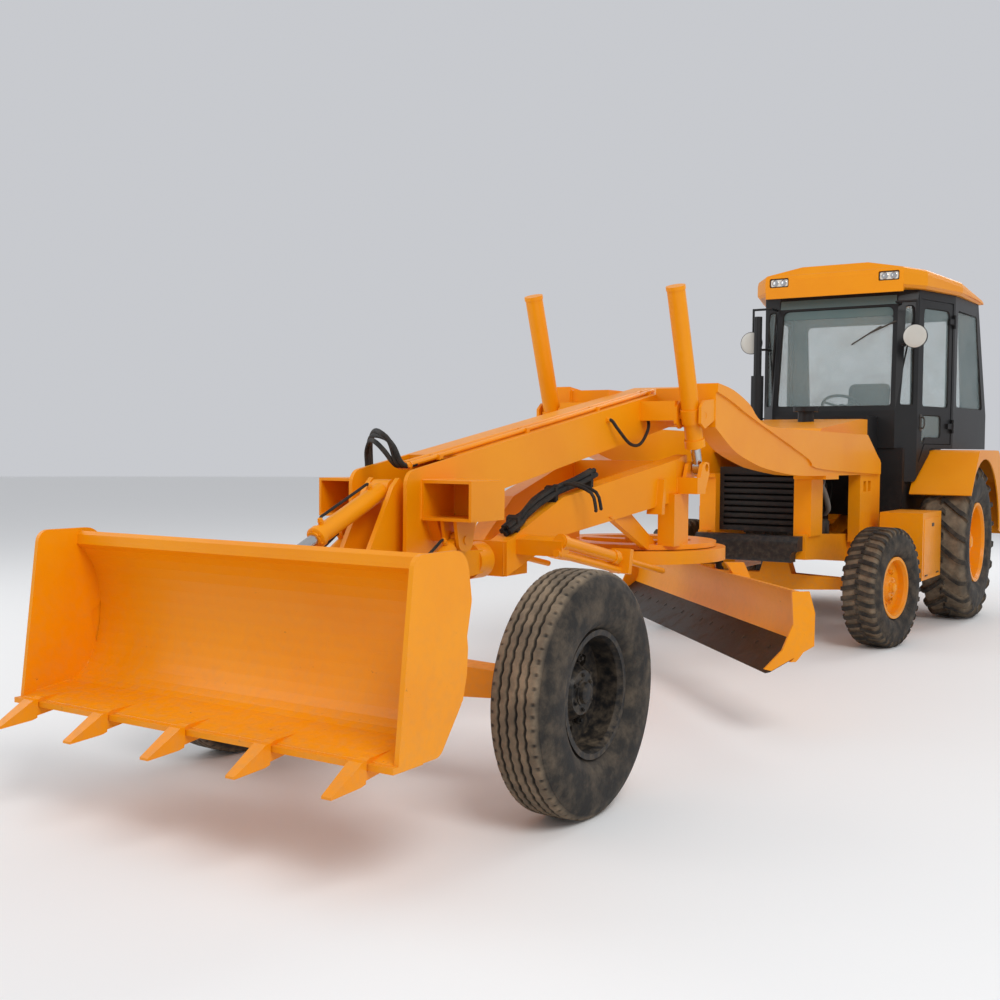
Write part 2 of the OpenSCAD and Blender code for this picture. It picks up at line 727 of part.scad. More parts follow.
module precleaner() {
    color(black) {
        difference() {
            zcyl(70, bonnet_z - 80, bonnet_z + 60, 40, 5900);
            side([[5700, 1700], [5700, bonnet_top(5700) + seat_gap], [6100, bonnet_top(6100) + seat_gap],
                  [6100, 1700]], -200, 200);
        }
        zcyl(110, bonnet_z + 59, bonnet_z + 100, 40, 5900);
    }
}

module exhaust() {
    color(black) {
        zcyl(38, 1500, 2870, -690, 6640);
        zcyl(60, 1600, 2300, -690, 6640);
        box(-690, -430 - seat_gap, 6600, 6680, 1500, 1570);
    }
}

module side_boxes() {
    color(orange) both() {
        box(660, 1025, 6060, 6750, 470, 1050);
        box(neck_in + 25, 662, 6200, 6280, 700, 800);
        box(rail_w / 2, 662, 6560, 6640, 700, 800);
    }
}

// Cab

cab_front_y = 6780;
cab_lean = 125;
cab_rear_y = 8600;
cab_rear_lean = 180;
cab_low_z = 1000;
cab_shelf_z = 1612;
cab_sill_z = 1960;
tub_w = 1320;
tub_front_y = 6800;
tub_rear_y = 8350;
floor_t = 40;
door_front = [740, 6980];
door_rear = [930, 7600];

// Half of the cab's plan at the sill and at the top: windscreen post, door's front, door's rear, rear post
function cab_half(top) = [
    [cab_front_w / 2 - (top ? 20 : 0), cab_front_y + (top ? cab_lean : 0)], door_front, door_rear,
    [cab_rear_w / 2 - (top ? 60 : 0), cab_rear_y - (top ? cab_rear_lean : 0)]
];
function cab_ring(top) = concat(cab_half(top), [for (i = [3:-1:0]) [-cab_half(top)[i][0],
    cab_half(top)[i][1]]]);

door_len = norm(door_rear - door_front);
door_turn = atan2(door_rear[1] - door_front[1], door_rear[0] - door_front[0]);
door_top_z = 3000;
door_gap = 6;
door_tail = [[36, 1470], [136, cab_shelf_z + 38], [door_len - 36, cab_shelf_z + 38],
             [door_len - 36, door_top_z], [36, door_top_z]];
hinge_r = 12;
door_hinge_x = door_len - 30;
door_hinge_y = -14;
door_hinges = [1800, 2800];
windscreen = rounded([[-545, 2000, 30], [545, 2000, 30], [528, 2935, 60], [-528, 2935, 60]]);
rear_window = rounded([[-800, 2010, 60], [800, 2010, 60], [790, 2935, 60], [-790, 2935, 60]]);
side_window = rounded([[7690, 2010, 40], [8490, 2010, 40], [8345, 2950, 40], [7690, 2950, 40]]);
corner_window = rounded([[55, 2010, 25], [205, 2010, 25], [205, 2935, 25], [138, 2935, 20]]);

// Pins and knuckles on the cab's post, above and below each of the door's own
module door_pins() {
    on_door_plane() for (z = door_hinges) {
        zcyl(hinge_r - 5, z - 40, z + 90, door_hinge_x, door_hinge_y);
        for (z0 = [z - 40, z + 56]) {
            zcyl(hinge_r, z0, z0 + 34, door_hinge_x, door_hinge_y);
            box(door_hinge_x - 10, door_hinge_x + 12, door_hinge_y, 1, z0, z0 + 34);
        }
    }
}

// Places a child drawn along +X from the door's front post, with its outer face on y = 0
module on_door_plane() {
    translate([door_front[0], door_front[1], 0]) rotate([0, 0, door_turn]) children();
}

module on_corner_plane() {
    translate([cab_front_w / 2, cab_front_y, 0])
        rotate([0, 0, atan2(door_front[1] - cab_front_y, door_front[0] - cab_front_w / 2)]) children();
}

// The openings of the cab's windows and doors, cut through its walls
module cab_openings() {
    front(windscreen, cab_front_y - 60, cab_front_y + 190);
    front(rear_window, cab_rear_y - 280, cab_rear_y + 20);
    both() {
        side(side_window, 840, 1100);
        on_corner_plane() front(corner_window, -30, 170);
        on_door_plane() front(door_tail, -30, cab_wall + 60);
    }
}

// A slab of glass in the wall between two corners, each at the sill and at the top
module wall_glass(a0, b0, a1, b1) {
    loft([[cab_sill_z, glass_strip(a0, b0)], [cab_top_z, glass_strip(a1, b1)]]);
}

function glass_strip(a, b) = let (u = unit(b - a), m = [-u[1], u[0]])
    [a + 22 * m, b + 22 * m, b + (22 + glass_t) * m, a + (22 + glass_t) * m];

// The front corner that hangs below the shelf, down to the fender's slope
module cab_corner(d, x0, y0, y1, top) {
    lo = cab_half(false);
    skin([for (y = [y0, 6960, 6980, y1]) let (
        a = y < lo[1][1] ? lo[0] : lo[1],
        b = y < lo[1][1] ? lo[1] : lo[2],
        x1 = a[0] + (b[0] - a[0]) * (y - a[1]) / (b[1] - a[1]) - d,
        z0 = 1300 + max(0, y - 6960) * 1.088 + d
    ) [[x0, y, z0], [x0, y, top], [x1, y, top], [x1, y, z0]]]);
}

module cab_outside() {
    loft([[cab_shelf_z, cab_ring(false)], [cab_sill_z, cab_ring(false)], [cab_top_z, cab_ring(true)]]);
}

module cab_frame() {
    color(black) {
        difference() {
            union() {
                cab_outside();
                box(-tub_w / 2, tub_w / 2, tub_front_y, tub_rear_y, cab_low_z, cab_shelf_z + 1);
                both() cab_corner(0.7, 640, 6870, 7203, cab_shelf_z + 1);
            }
            loft([[cab_shelf_z + floor_t, inset(cab_ring(false), cab_wall)],
                  [cab_sill_z, inset(cab_ring(false), cab_wall)],
                  [cab_top_z + 0.5, inset(cab_ring(true), cab_wall)]]);
            box(-tub_w / 2 + cab_wall, tub_w / 2 - cab_wall, tub_front_y + cab_wall, tub_rear_y - cab_wall,
                cab_low_z + floor_t, cab_shelf_z + floor_t + 1);
            both() cab_corner(45, 600, 6900, 7155, cab_shelf_z + floor_t + 3);
            cab_openings();
        }
        box(-430, 430, cowl_y, tub_front_y + 5, 1000, 1900);
        both() for (x = [170, 306])
            side([[cowl_y + 5, hinge_z - 70], [cowl_y - 20, hinge_z - 70], [bonnet_y1 - 24, hinge_z - 8],
                  [bonnet_y1 - 21, hinge_z + 8], [bonnet_y1 - 10, hinge_z + 13], [bonnet_y1 - 2,
                      hinge_z + 10],
                  [bonnet_y1 + 2, hinge_z - 5], [cowl_y + 5, hinge_z - 24]],
                 x, x + 14);
        both() xcyl(10, 165, 325, bonnet_y1 - 10, hinge_z);
        both() door_pins();
    }
}

roof_top_z = cab_top_z + 200;
roof_fall = 0.075;
roof_crown = 62;
lamp_w = 190;
lamp_x = 520;

// One ring of the roof: its plan drawn in by d, on a level or at a depth below the sloping top
function roof_ring(d, z) = [for (q = inset([
        [-655, 6722], [655, 6722], [815, 6945], [992, 7600], [1012, 8500],
        [-1012, 8500], [-992, 7600], [-815, 6945]
    ], d)) [q[0], q[1], z > 0 ? z : roof_top_z + z - (q[1] - 6722) * roof_fall]];

module cab_roof() {
    color(orange) {
        difference() {
            skin([roof_ring(26, cab_top_z + 0.3), roof_ring(0, cab_top_z + 26), roof_ring(0, -60),
                  roof_ring(8, -24), roof_ring(22, -10),
                  [for (q = roof_ring(60, -0.001)) [q[0] * 0.5, q[1], q[2] + roof_crown]]]);
            both() front(rounded([[lamp_x - lamp_w / 2, cab_top_z + 70, 14], [lamp_x + lamp_w / 2,
                cab_top_z + 70, 14],
                                  [lamp_x + lamp_w / 2, cab_top_z + 158, 14],
                                  [lamp_x - lamp_w / 2, cab_top_z + 158, 14]]), 6700, 6760);
        }
        side([[6722, cab_top_z - 36], [6742, cab_top_z - 36], [6800, cab_top_z + 26], [6722,
            cab_top_z + 26]],
             -650, 650);
    }
}

module roof_lamps() {
    color([0.9, 0.9, 0.85]) both()
        front(rounded([[lamp_x - lamp_w / 2 + 8, cab_top_z + 78, 10], [lamp_x + lamp_w / 2 - 8,
            cab_top_z + 78, 10],
                       [lamp_x + lamp_w / 2 - 8, cab_top_z + 150, 10],
                       [lamp_x - lamp_w / 2 + 8, cab_top_z + 150, 10]]), 6736, 6760);
}

module cab_glass() {
    lo = cab_half(false);
    hi = cab_half(true);
    color(pane) {
        intersection() {
            front(windscreen, cab_front_y - 60, cab_front_y + 190);
            wall_glass([-lo[0][0], lo[0][1]], lo[0], [-hi[0][0], hi[0][1]], hi[0]);
        }
        intersection() {
            front(rear_window, cab_rear_y - 280, cab_rear_y + 20);
            wall_glass(lo[3], [-lo[3][0], lo[3][1]], hi[3], [-hi[3][0], hi[3][1]]);
        }
        both() {
            intersection() {
                side(side_window, 840, 1100);
                wall_glass(lo[2], lo[3], hi[2] - [20, 0], hi[3] + [20, 0]);
            }
            intersection() {
                on_corner_plane() front(corner_window, -30, 170);
                wall_glass(lo[0], lo[1], hi[0], hi[1]);
            }
        }
    }
}

door_upper = rounded([[95, 2000, 40], [door_len - 95, 2000, 40], [door_len - 95, 2925, 50], [95, 2925,
    50]]);
door_lower = rounded([[90, 1600, 20], [155, 1710, 20], [430, 1710, 40], [430, 1925, 40], [90, 1925, 40]]);

module door() {
    color(black) on_door_plane() difference() {
        front(inset(door_tail, door_gap), 5, 40);
        front(door_upper, 0, 50);
        front(door_lower, 0, 50);
    }
    color(black) on_door_plane() for (z = door_hinges) difference() {
        union() {
            zcyl(hinge_r, z, z + 50, door_hinge_x, door_hinge_y);
            box(door_hinge_x - 90, door_hinge_x, door_hinge_y - 2, door_hinge_y + 4, z, z + 50);
            box(door_hinge_x - 90, door_hinge_x - 16, door_hinge_y, 6, z, z + 50);
        }
        zcyl(hinge_r - 5 + run_gap, z - 1, z + 51, door_hinge_x, door_hinge_y);
    }
}

module door_glass() {
    color(pane) on_door_plane() {
        front(door_upper, 18, 18 + glass_t);
        front(door_lower, 18, 18 + glass_t);
    }
}

module console() {
    color(black) {
        side([[6851, cab_low_z + floor_t], [7000, cab_low_z + floor_t], [7060, 1800], [7000, 1900],
              [6835, 1900], [6835, 1657], [6851, 1656]], -180, 180);
        translate([0, 7000, 1840]) rotate([-35, 0, 0]) {
            translate([0, 0, -60]) cylinder(r=25, h=260);
            translate([0, 0, 200]) rotate_extrude($fn=48) translate([190, 0]) circle(14);
            translate([0, 0, 190]) cylinder(r=45, h=20);
            for (a = [90, 210, 330]) rotate([0, 0, a]) box(30, 185, -12, 12, 194, 206);
        }
    }
}

module seat() {
    color([0.15, 0.15, 0.16]) {
        box(-230, 230, 7480, 7960, 1560, 1680);
        side([[7900, 1680.3], [8010, 1680.3], [8110, 2300], [8020, 2300]], -220, 220);
        box(-180, 180, 7560, 7900, cab_low_z + floor_t, 1560);
    }
}

module mirrors() {
    color(black) both() {
        ycyl(108, 6684, 6706, 775, 2625);
        ycyl(60, 6705, 6728, 775, 2625);
        zcyl(11, 2540, 2960, 775, 6738);
        xcyl(11, 590, 775, 6738, 2950);
        xcyl(11, 640, 775, 6738, 2560);
        difference() {
            union() {
                ycyl(11, 6738, 6940, 590, 2950);
                ycyl(11, 6738, 6940, 640, 2560);
            }
            cab_outside();
        }
    }
}

module fenders() {
    arch = rounded([[6900, 1190], [7250, 1600, 130], [8230, 1600, 170], [8440, 1290, 120], [8490, 760]], 6);
    color(orange) both() {
        side(band(arch, -12), tub_w / 2 + 40, fender_w / 2);
        difference() {
            side(arch, fender_w / 2 - 12, fender_w / 2);
            xcyl(rw_r + 65, fender_w / 2 - 20, fender_w / 2 + 10, rear_axle_y, rw_r);
        }
        box(tub_w / 2, tub_w / 2 + 42, 7290, 8100, 1560, 1592);
    }
}

// Rear frame with its drawbar eye

module rear_frame() {
    color(orange) {
        box(-560, 560, 8450, 8540, 560, 1120);
        difference() {
            union() {
                box(-110, 110, 8540, rear_end_y - 60, 640, 680);
                box(-110, 110, 8540, rear_end_y - 60, 760, 800);
                zcyl(110, 640, 680, 0, rear_end_y - 110);
                zcyl(110, 760, 800, 0, rear_end_y - 110);
            }
            zcyl(20, 600, 900, 0, rear_end_y - 110);
        }
        both() box(300, 560, 8540, 8700, 600, 1050);
    }
}

// Drawbar, circle and blade

nose_y = 720;
nose_z = 985;
ball_r = 62;
eye_y = 2461;
eye_z = 1460;
leg_w = 110;
leg_h0 = 190;
leg_h1 = 240;
circle_z0 = 870;
circle_z1 = 950;

function leg_top(y) = y < 1250 ? nose_z + 93 + (1207 - nose_z) * (y - nose_y - 92) / (1158 - nose_y)
                               : 1300 + 240 * (y - 1250) / 1210;

module leg() {
    intersection() {
        side([[nose_y + 92, nose_z - 88], [nose_y + 92, nose_z + 93], [1250, 1300], [2460, 1540],
              [2460, 1280], [1250, 1090]], 0, 600);
        plan([[20, nose_y + 92], [130, nose_y + 92], [415, 2300], [415, 2460], [340, 2460]], 500, 2000);
    }
}

module drawbar() {
    color(orange) {
        difference() {
            union() {
                translate([0, nose_y, nose_z]) sphere(r=ball_r);
                ycyl(45, nose_y, nose_y + 120, 0, nose_z);
                box(-110, 110, nose_y + 90, nose_y + 330, nose_z - 90, nose_z + 95);
                both() leg();
                box(-414, 414, 2330, 2450, 1285, 1500);
                both() for (x = [lift_w / 2 - 60, lift_w / 2 + 36])
                    side([[2330, 1330], [2400, 1482], [eye_y - 20, eye_z + 38], [eye_y + 35, eye_z + 30],
                          [eye_y + 40, eye_z - 40], [2450, 1330]], x, x + 24);
                both() box(400, lift_w / 2 + 60, 2320, 2445, 1300, 1400);
                carrier();
            }
            both() xcyl(lift_rod_r - 5, lift_w / 2 - 70, lift_w / 2 + 70, eye_y, eye_z);
        }
        turn_cylinder();
    }
}

// Plate ring under the drawbar, on posts, that the circle turns in
module carrier() {
    difference() {
        zcyl(circle_r - 60, circle_z1 + side_gap, circle_z1 + 36, 0, circle_y);
        zcyl(circle_r - 220, circle_z1 - 40, circle_z1 + 60, 0, circle_y);
    }
    both() {
        box(330, 440, 2230, 2440, circle_z1 + 30, 1300);
        side([[1650, 1180], [1900, 1200], [2300, circle_z1 + 30], [2150, circle_z1 + 10]], 260, 300);
    }
    zcyl(70, circle_z0 - 20, circle_z1 + 60, 0, circle_y);
    box(-circle_r + 150, circle_r - 150, circle_y - 60, circle_y + 60, circle_z1 + side_gap,
        circle_z1 + 36);
}

module turn_cylinder() {
    both() {
        tilted(-11.4, 890, 1090) {
            ycyl(34, 890, 1540, 400, 1090);
            ycyl(20, 870, 1600, 400, 1025);
            ycyl(41, 900, 950, 400, 1090);
            ycyl(41, 1490, 1545, 400, 1090);
            ycyl(18, 1540, 2180, 400, 1090);
            difference() {
                box(340, 460, 1600, 1640, 1010, 1150);
                ycyl(18, 1590, 1650, 400, 1090);
            }
            box(250, 350, 1600, 1640, 1040, 1120);
        }
        side([[880, 1010], [960, 1030], [960, 1110], [880, 1090]], 90, 420);
        side([[2090, 1180], [2130, 1180], [2160, 1390], [2120, 1390]], 320, 420);
    }
}

// Five hoses laid on the left leg, with two that drop to the turn cylinder's ports
module drawbar_hoses() {
    rise = [[850, 18], [950, 20], [1080, 42], [1250, 24], [1420, 30], [1560, 52]];
    turn = [[0, 0], [26, 12], [-24, 14], [12, 36], [-12, 34]];
    color(black) {
        for (k = [0:4]) hose(spline([for (i = [0:5]) let (j = turn[(k + floor(i / 2)) % 5])
            [95 + (rise[i][0] - 850) * 0.19 + j[0], rise[i][0],
                leg_top(rise[i][0]) + rise[i][1] + j[1]]], 2), 15, 8);
        for (y = [1290, 1350])
            hose(spline([[(y - 850) * 0.19 + 110, y, 1372], [(y - 850) * 0.19 + 150, y + 10, 1376],
                         [360, y + 14, 1330], [392, y + 10, 1250], [398, y, 1150 + (y - 890) * 0.2]], 3),
                             10, 8);
        for (y = [900, 1200, 1500])
            side([[y, leg_top(y) + 0.1], [y + 26, leg_top(y + 26) + 0.1], [y + 26, leg_top(y + 26) + 80],
                  [y, leg_top(y) + 80]], 58 + (y - 850) * 0.19, 132 + (y - 850) * 0.19);
    }
}

module turn_circle() {
    color(orange) translate([0, circle_y, 0]) {
        difference() {
            cylinder_ring(circle_r, circle_r - 110, circle_z0, circle_z1);
        }
        blade_frame() {
            for (x = [-480, 440]) difference() {
                side([[circle_r - 260, circle_z0 + 1], [circle_r - 20, circle_z0 + 1], [blade_back + 90,
                    760],
                      [blade_back + 70, 560], [blade_back + 20, 530], [blade_back - 40, 545],
                      [blade_back - 52, 818], [circle_r - 260, 838]], x, x + 40);
                xcyl(blade_curve_r + blade_t, x - 1, x + 41, blade_n, blade_mid_z);
            }
        }
        difference() {
            zcyl(circle_r - 100, circle_z0 + 10, circle_z0 + 30, 0, 0);
            zcyl(70 + run_gap, circle_z0 - 50, circle_z1 + 50, 0, 0);
            for (a = [0:60:300]) rotate([0, 0, a]) zcyl(130, circle_z0 - 50, circle_z1 + 50, 290, 0);
        }
    }
}

module cylinder_ring(r_out, r_in, z0, z1) {
    difference() {
        zcyl(r_out, z0, z1, 0, 0);
        zcyl(r_in, z0 - 1, z1 + 1, 0, 0);
    }
}

// Turns what is drawn square across the machine to the blade's angle
module blade_frame() {
    rotate([0, 0, -blade_angle]) children();
}

blade_n = 210;
blade_mid_z = 660;
blade_back = blade_n + blade_curve_r + blade_t;
// The shift that centres the width, from the blade's leading end to the fenders
blade_tip_x = blade_len / 2 * cos(blade_angle) + (blade_back + 12) * sin(blade_angle);
row_x = (blade_tip_x - fender_w / 2) / 2;

// The blade's curve about a line along X, cut to its height
module curve_sector(r_in, r_out, z0, z1, x0, x1) {
    intersection() {
        difference() {
            xcyl(r_out, x0, x1, blade_n, blade_mid_z);
            xcyl(r_in, x0 - 1, x1 + 1, blade_n, blade_mid_z);
        }
        box(x0, x1, blade_n + 60, blade_n + r_out + 1, z0, z1);
    }
}

// A point on the front face of the blade's curve, a given way up from its lower edge
function edge_at(up) = [blade_n + sqrt(pow(blade_curve_r - seat_gap,
    2) - pow(blade_clear + 60 + up - blade_mid_z, 2)),
                        blade_clear + 60 + up];

module moldboard() {
    color(orange) translate([0, circle_y, 0]) blade_frame() {
        curve_sector(blade_curve_r, blade_curve_r + blade_t, blade_clear + 60, 805, -blade_len / 2,
            blade_len / 2);
        for (x = [-blade_len / 2, blade_len / 2 - 16])
            side([[blade_n + 40, blade_clear + 25], [blade_n + 80, blade_clear + 15], [blade_back + 10,
                520],
                  [blade_back + 12, 700], [blade_n + 290, 815], [blade_n + 190, 815],
                  [blade_n + 200, 640], [blade_n + 140, 500]], x, x + 16);
    }
}

module cutting_edge() {
    color([0.16, 0.15, 0.15]) translate([0, circle_y, 0]) blade_frame()
        side([[blade_n + 52, blade_clear], [blade_n + 78, blade_clear + 4], edge_at(0), edge_at(100)],
             -blade_len / 2 + 18, blade_len / 2 - 18);
}

// Blade lift cylinders

lift_lean = atan2(eye_y - trunnion_y, trunnion_z - eye_z);

module on_lift_axis() {
    tilted(lift_lean, trunnion_y, trunnion_z) translate([0, trunnion_y, trunnion_z]) children();
}

module lift_barrels() {
    color(orange) both() on_lift_axis() translate([lift_w / 2, 0, 0]) {
        difference() {
            union() {
                translate([0, 0, -190]) cylinder(r=lift_r, h=190 + lift_len);
                translate([0, 0, -200]) cylinder(r=lift_r + 8, h=50);
                translate([0, 0, lift_len - 10]) cylinder(r=lift_r + 4, h=24);
                xcyl(trunnion_r, -88, 88, 0, 0);
                translate([0, 0, -45]) cylinder(r=lift_r + 10, h=90);
            }
            translate([0, 0, -201]) cylinder(r=lift_rod_r + run_gap, h=120 + lift_len);
        }
    }
}

lift_reach = norm([eye_y - trunnion_y, eye_z - trunnion_z]);

module lift_rods() {
    color(steel) both() on_lift_axis() translate([lift_w / 2, 0, 0]) {
        translate([0, 0, -lift_reach + 30]) cylinder(r=lift_rod_r, h=lift_reach + 270);
        difference() {
            xcyl(42, -20, 20, 0, -lift_reach);
            xcyl(24, -21, 21, 0, -lift_reach);
        }
    }
}

// Loader arms, their cylinders and the bucket

arm_y = 20;
arm_z = 930;
arm_pin_r = 30;
arm_plate_out = 90;
hitch_x = 440;
hitch_y = -800;
hitch_z = 620;
tilt_y = -60;
tilt_z = 1375;
tilt_eye_y = -730;
tilt_eye_z = 1085;
loader_pin_r = 20;
ear_lug_x = 310;
loader_y = 100;
loader_z = 1140;
loader_eye_y = -430;
loader_eye_z = 830;

module loader_arms() {
    color(orange) {
        xcyl(arm_pin_r, -head_w / 2 - 26, head_w / 2 + 26, arm_y, arm_z);
        xcyl(60, -head_w / 2 + cheek_t + side_gap, head_w / 2 - cheek_t - side_gap, arm_y, arm_z);
        xcyl(loader_pin_r, -arm_plate_out, arm_plate_out, tilt_y, tilt_z);
        both() {
            side([[arm_y + 55, arm_z - 20], [arm_y + 45, arm_z + 50], [tilt_y + 45, tilt_z + 10],
                  [tilt_y, tilt_z + 50], [tilt_y - 45, tilt_z + 10], [-420, 860], [-600, 760],
                  [-600, 640], [-300, 700]], arm_plate_out - 25, arm_plate_out);
            plan([[arm_plate_out - 25, -330], [arm_plate_out - 25, -480], [hitch_x - 30, -700],
                  [hitch_x + 30, -700], [hitch_x + 30, -600]], 660, 760);
            side([[-690, 660], [-690, 760], [hitch_y, hitch_z + 52], [hitch_y - 40, hitch_z + 30],
                  [hitch_y - 50, hitch_z], [hitch_y - 40, hitch_z - 30], [hitch_y, hitch_z - 50],
                  [-700, 640]], hitch_x - 30, hitch_x + 30);
            xcyl(arm_pin_r, hitch_x - 68, hitch_x + 68, hitch_y, hitch_z);
            for (x = [ear_lug_x - 45, ear_lug_x + 27])
                side([[loader_eye_y - 60, 700], [loader_eye_y - 40, loader_eye_z + 40],
                      [loader_eye_y + 40, loader_eye_z + 40], [loader_eye_y + 60, 700]], x, x + 18);
            box(60, ear_lug_x + 45, loader_eye_y - 55, loader_eye_y + 55, 660, 740);
        }
        xcyl(35, -hitch_x + 10, hitch_x - 10, -660, 710);
    }
}

loader_turn = atan2(loader_y - loader_eye_y, loader_z - loader_eye_z);
loader_reach = norm([loader_y - loader_eye_y, loader_z - loader_eye_z]);

// Places a child drawn along -Z from a pin, turned about X
module from_pin(angle, y, z) {
    translate([0, y, z]) rotate([angle, 0, 0]) children();
}

module loader_barrels() {
    color(orange) both() from_pin(-loader_turn, loader_y, loader_z) translate([ear_lug_x, 0, 0]) {
        difference() {
            union() {
                xcyl(36, -20, 20, 0, 0);
                box(-20, 20, -25, 25, -80, 0);
                translate([0, 0, -400]) cylinder(r=38, h=325);
                xcyl(loader_pin_r, -50, 50, 0, 0);
            }
            translate([0, 0, -401]) cylinder(r=20 + run_gap, h=311);
        }
    }
}

module loader_rods() {
    color(steel) both() from_pin(-loader_turn, loader_y, loader_z) translate([ear_lug_x, 0, 0]) {
        translate([0, 0, -loader_reach + 25]) cylinder(r=20, h=loader_reach - 240);
        difference() {
            xcyl(36, -23, 23, 0, -loader_reach);
            xcyl(21, -24, 24, 0, -loader_reach);
        }
    }
}

tilt_turn = atan2(tilt_y - tilt_eye_y, tilt_z - tilt_eye_z);
tilt_reach = norm([tilt_y - tilt_eye_y, tilt_z - tilt_eye_z]);

module tilt_barrel() {
    color(orange) from_pin(-tilt_turn, tilt_y, tilt_z) difference() {
        union() {
            xcyl(42, -50, 50, 0, 0);
            translate([0, 0, -520]) cylinder(r=42, h=490);
        }
        translate([0, 0, -521]) cylinder(r=25 + run_gap, h=471);
        xcyl(loader_pin_r + run_gap, -60, 60, 0, 0);
    }
}

module tilt_rod() {
    color(steel) from_pin(-tilt_turn, tilt_y, tilt_z) {
        translate([0, 0, -tilt_reach + 30]) cylinder(r=25, h=tilt_reach - 250);
        difference() {
            xcyl(42, -30, 30, 0, -tilt_reach);
            xcyl(24, -31, 31, 0, -tilt_reach);
        }
    }
}

bucket_top_z = 1183;
bucket_low_z = 472;
bucket_lip_y = -979;

// Side outline of the bucket's wrap, from its top lip round the back to the cutting edge
function wrap_outline(d) = concat(
    [[bucket_lip_y, bucket_top_z - d]],
    [for (a = [70:-10:-80]) [-1060 + (210 - d) * cos(a) * 1.0,
        830 + 0 + (a > 0 ? 1 : 1) * (330 - d) * sin(a)]],
    [[-1270, bucket_low_z + d]]
);

// The space inside the bucket's wrap, carried on past its front
module bucket_space() {
    side(concat([[bucket_lip_y - 40, bucket_top_z - bucket_t]],
                [for (a = [70:-10:-80]) [-1060 + (210 - bucket_t) * cos(a),
                    830 + (330 - bucket_t) * sin(a)]],
                [[-1300, bucket_low_z + bucket_t + 2], [-1300, bucket_top_z - bucket_t]]),
         -bucket_w / 2, bucket_w / 2);
}

// A shank on the lip and its pointed tip
module tooth() {
    side([[-1140, bucket_low_z + 14], [-1150, bucket_low_z + 34], [-1280, bucket_low_z + 30],
          [-1372, bucket_low_z - 4], [-1372, bucket_low_z - 34], [-1300, bucket_low_z - 44],
          [-1180, bucket_low_z - 28], [-1150, bucket_low_z - 8]], -tooth_w * 0.37, tooth_w * 0.37);
    intersection() {
        side([[-1330, bucket_low_z + 24], [-front_reach, 412], [-front_reach, 403],
              [-1335, bucket_low_z - 58], [-1310, bucket_low_z - 52], [-1305, bucket_low_z + 26]],
             -tooth_w / 2, tooth_w / 2);
        plan([[-tooth_w / 2, -1300], [-tooth_w / 2, -1345], [-tooth_w * 0.36, -front_reach],
              [tooth_w * 0.36, -front_reach], [tooth_w / 2, -1345], [tooth_w / 2, -1300]], 380, 520);
    }
}

module bucket() {
    color(orange) {
        difference() {
            union() {
                side(concat(wrap_outline(0), [[-1270, bucket_low_z + bucket_t], [-1060, bucket_low_z + 60]],
                            [[bucket_lip_y - 10, bucket_top_z - bucket_t]]),
                     -bucket_w / 2 + bucket_side_t - 1, bucket_w / 2 - bucket_side_t + 1);
                for (x = [-60, 36])
                    side([[-940, 980], [-930, 1100], [tilt_eye_y + 20, tilt_eye_z + 45],
                          [tilt_eye_y + 45, tilt_eye_z], [tilt_eye_y, tilt_eye_z - 45], [-920, 900]], x,
                              x + 24);
                both() for (x = [hitch_x - 60, hitch_x + 36])
                    side([[-900, 800], [hitch_y + 10, hitch_z + 60], [hitch_y + 50, hitch_z],
                          [hitch_y, hitch_z - 50], [-1000, 560]], x, x + 24);
            }
            bucket_space();
            both() xcyl(arm_pin_r + run_gap, hitch_x - 70, hitch_x + 70, hitch_y, hitch_z);
        }
        for (x = [-bucket_w / 2, bucket_w / 2 - bucket_side_t])
            side(rounded([[-1186, 1195, 55], [-868, 1195, 85], [-834, 1007, 60], [-872, 840, 30], [-922,
                812, 20],
                          [-905, 735, 30], [-887, 647, 60], [-1029, bucket_low_z - 4, 60],
                          [-1272, bucket_low_z - 4]], 6), x, x + bucket_side_t);
        box(-bucket_w / 2, bucket_w / 2, -1300, -1130, bucket_low_z - 8, bucket_low_z + 14);
        for (i = [0:tooth_n - 1])
            translate([-tooth_span / 2 + i * tooth_span / (tooth_n - 1), 0, 0])
                tooth();
    }
}

at_row() main_beam();
at_row() beam_head();
at_row() beam_pipes();
at_row() front_axle();
at_row() gooseneck();
at_row() chassis();
at_row() counterweight();
at_row() grille();
at_row() engine();
at_row() mid_axle();
at_row() rear_axle();
at_row() side_boxes();
at_row() cab_frame();
at_row() cab_roof();
at_row() cab_glass();
at_row() console();
at_row() seat();
at_row() fenders();
at_row() rear_frame();
at_row() mirrors();
at_row() roof_lamps();
at_row() exhaust();
at_row() bonnet();
at_row() precleaner();
at_row() door();  // door_l
at_row() mirror([1, 0, 0]) door();  // door_r
at_row() door_glass();  // door_glass_l
at_row() mirror([1, 0, 0]) door_glass();  // door_glass_r
at_row() front_knuckle();  // front_knuckle_l
at_row() mirror([1, 0, 0]) front_knuckle();  // front_knuckle_r
at_row() front_rim();  // front_rim_l
at_row() mirror([1, 0, 0]) front_rim();  // front_rim_r
at_row() front_tyre();  // front_tyre_l
at_row() mirror([1, 0, 0]) front_tyre();  // front_tyre_r
at_row() mid_place(1) mid_knuckle();  // mid_knuckle_l
at_row() mid_place(-1) mid_knuckle();  // mid_knuckle_r
at_row() mid_place(1) mid_rim();  // mid_rim_l
at_row() mid_place(-1) mid_rim();  // mid_rim_r
at_row() mid_place(1) mid_tyre();  // mid_tyre_l
at_row() mid_place(-1) mid_tyre();  // mid_tyre_r
at_row() rear_rim();  // rear_rim_l
at_row() mirror([1, 0, 0]) rear_rim();  // rear_rim_r
at_row() rear_tyre();  // rear_tyre_l
at_row() mirror([1, 0, 0]) rear_tyre();  // rear_tyre_r
at_row() drawbar();
at_row() drawbar_hoses();
at_row() turn_circle();  // circle
at_row() moldboard();
at_row() cutting_edge();
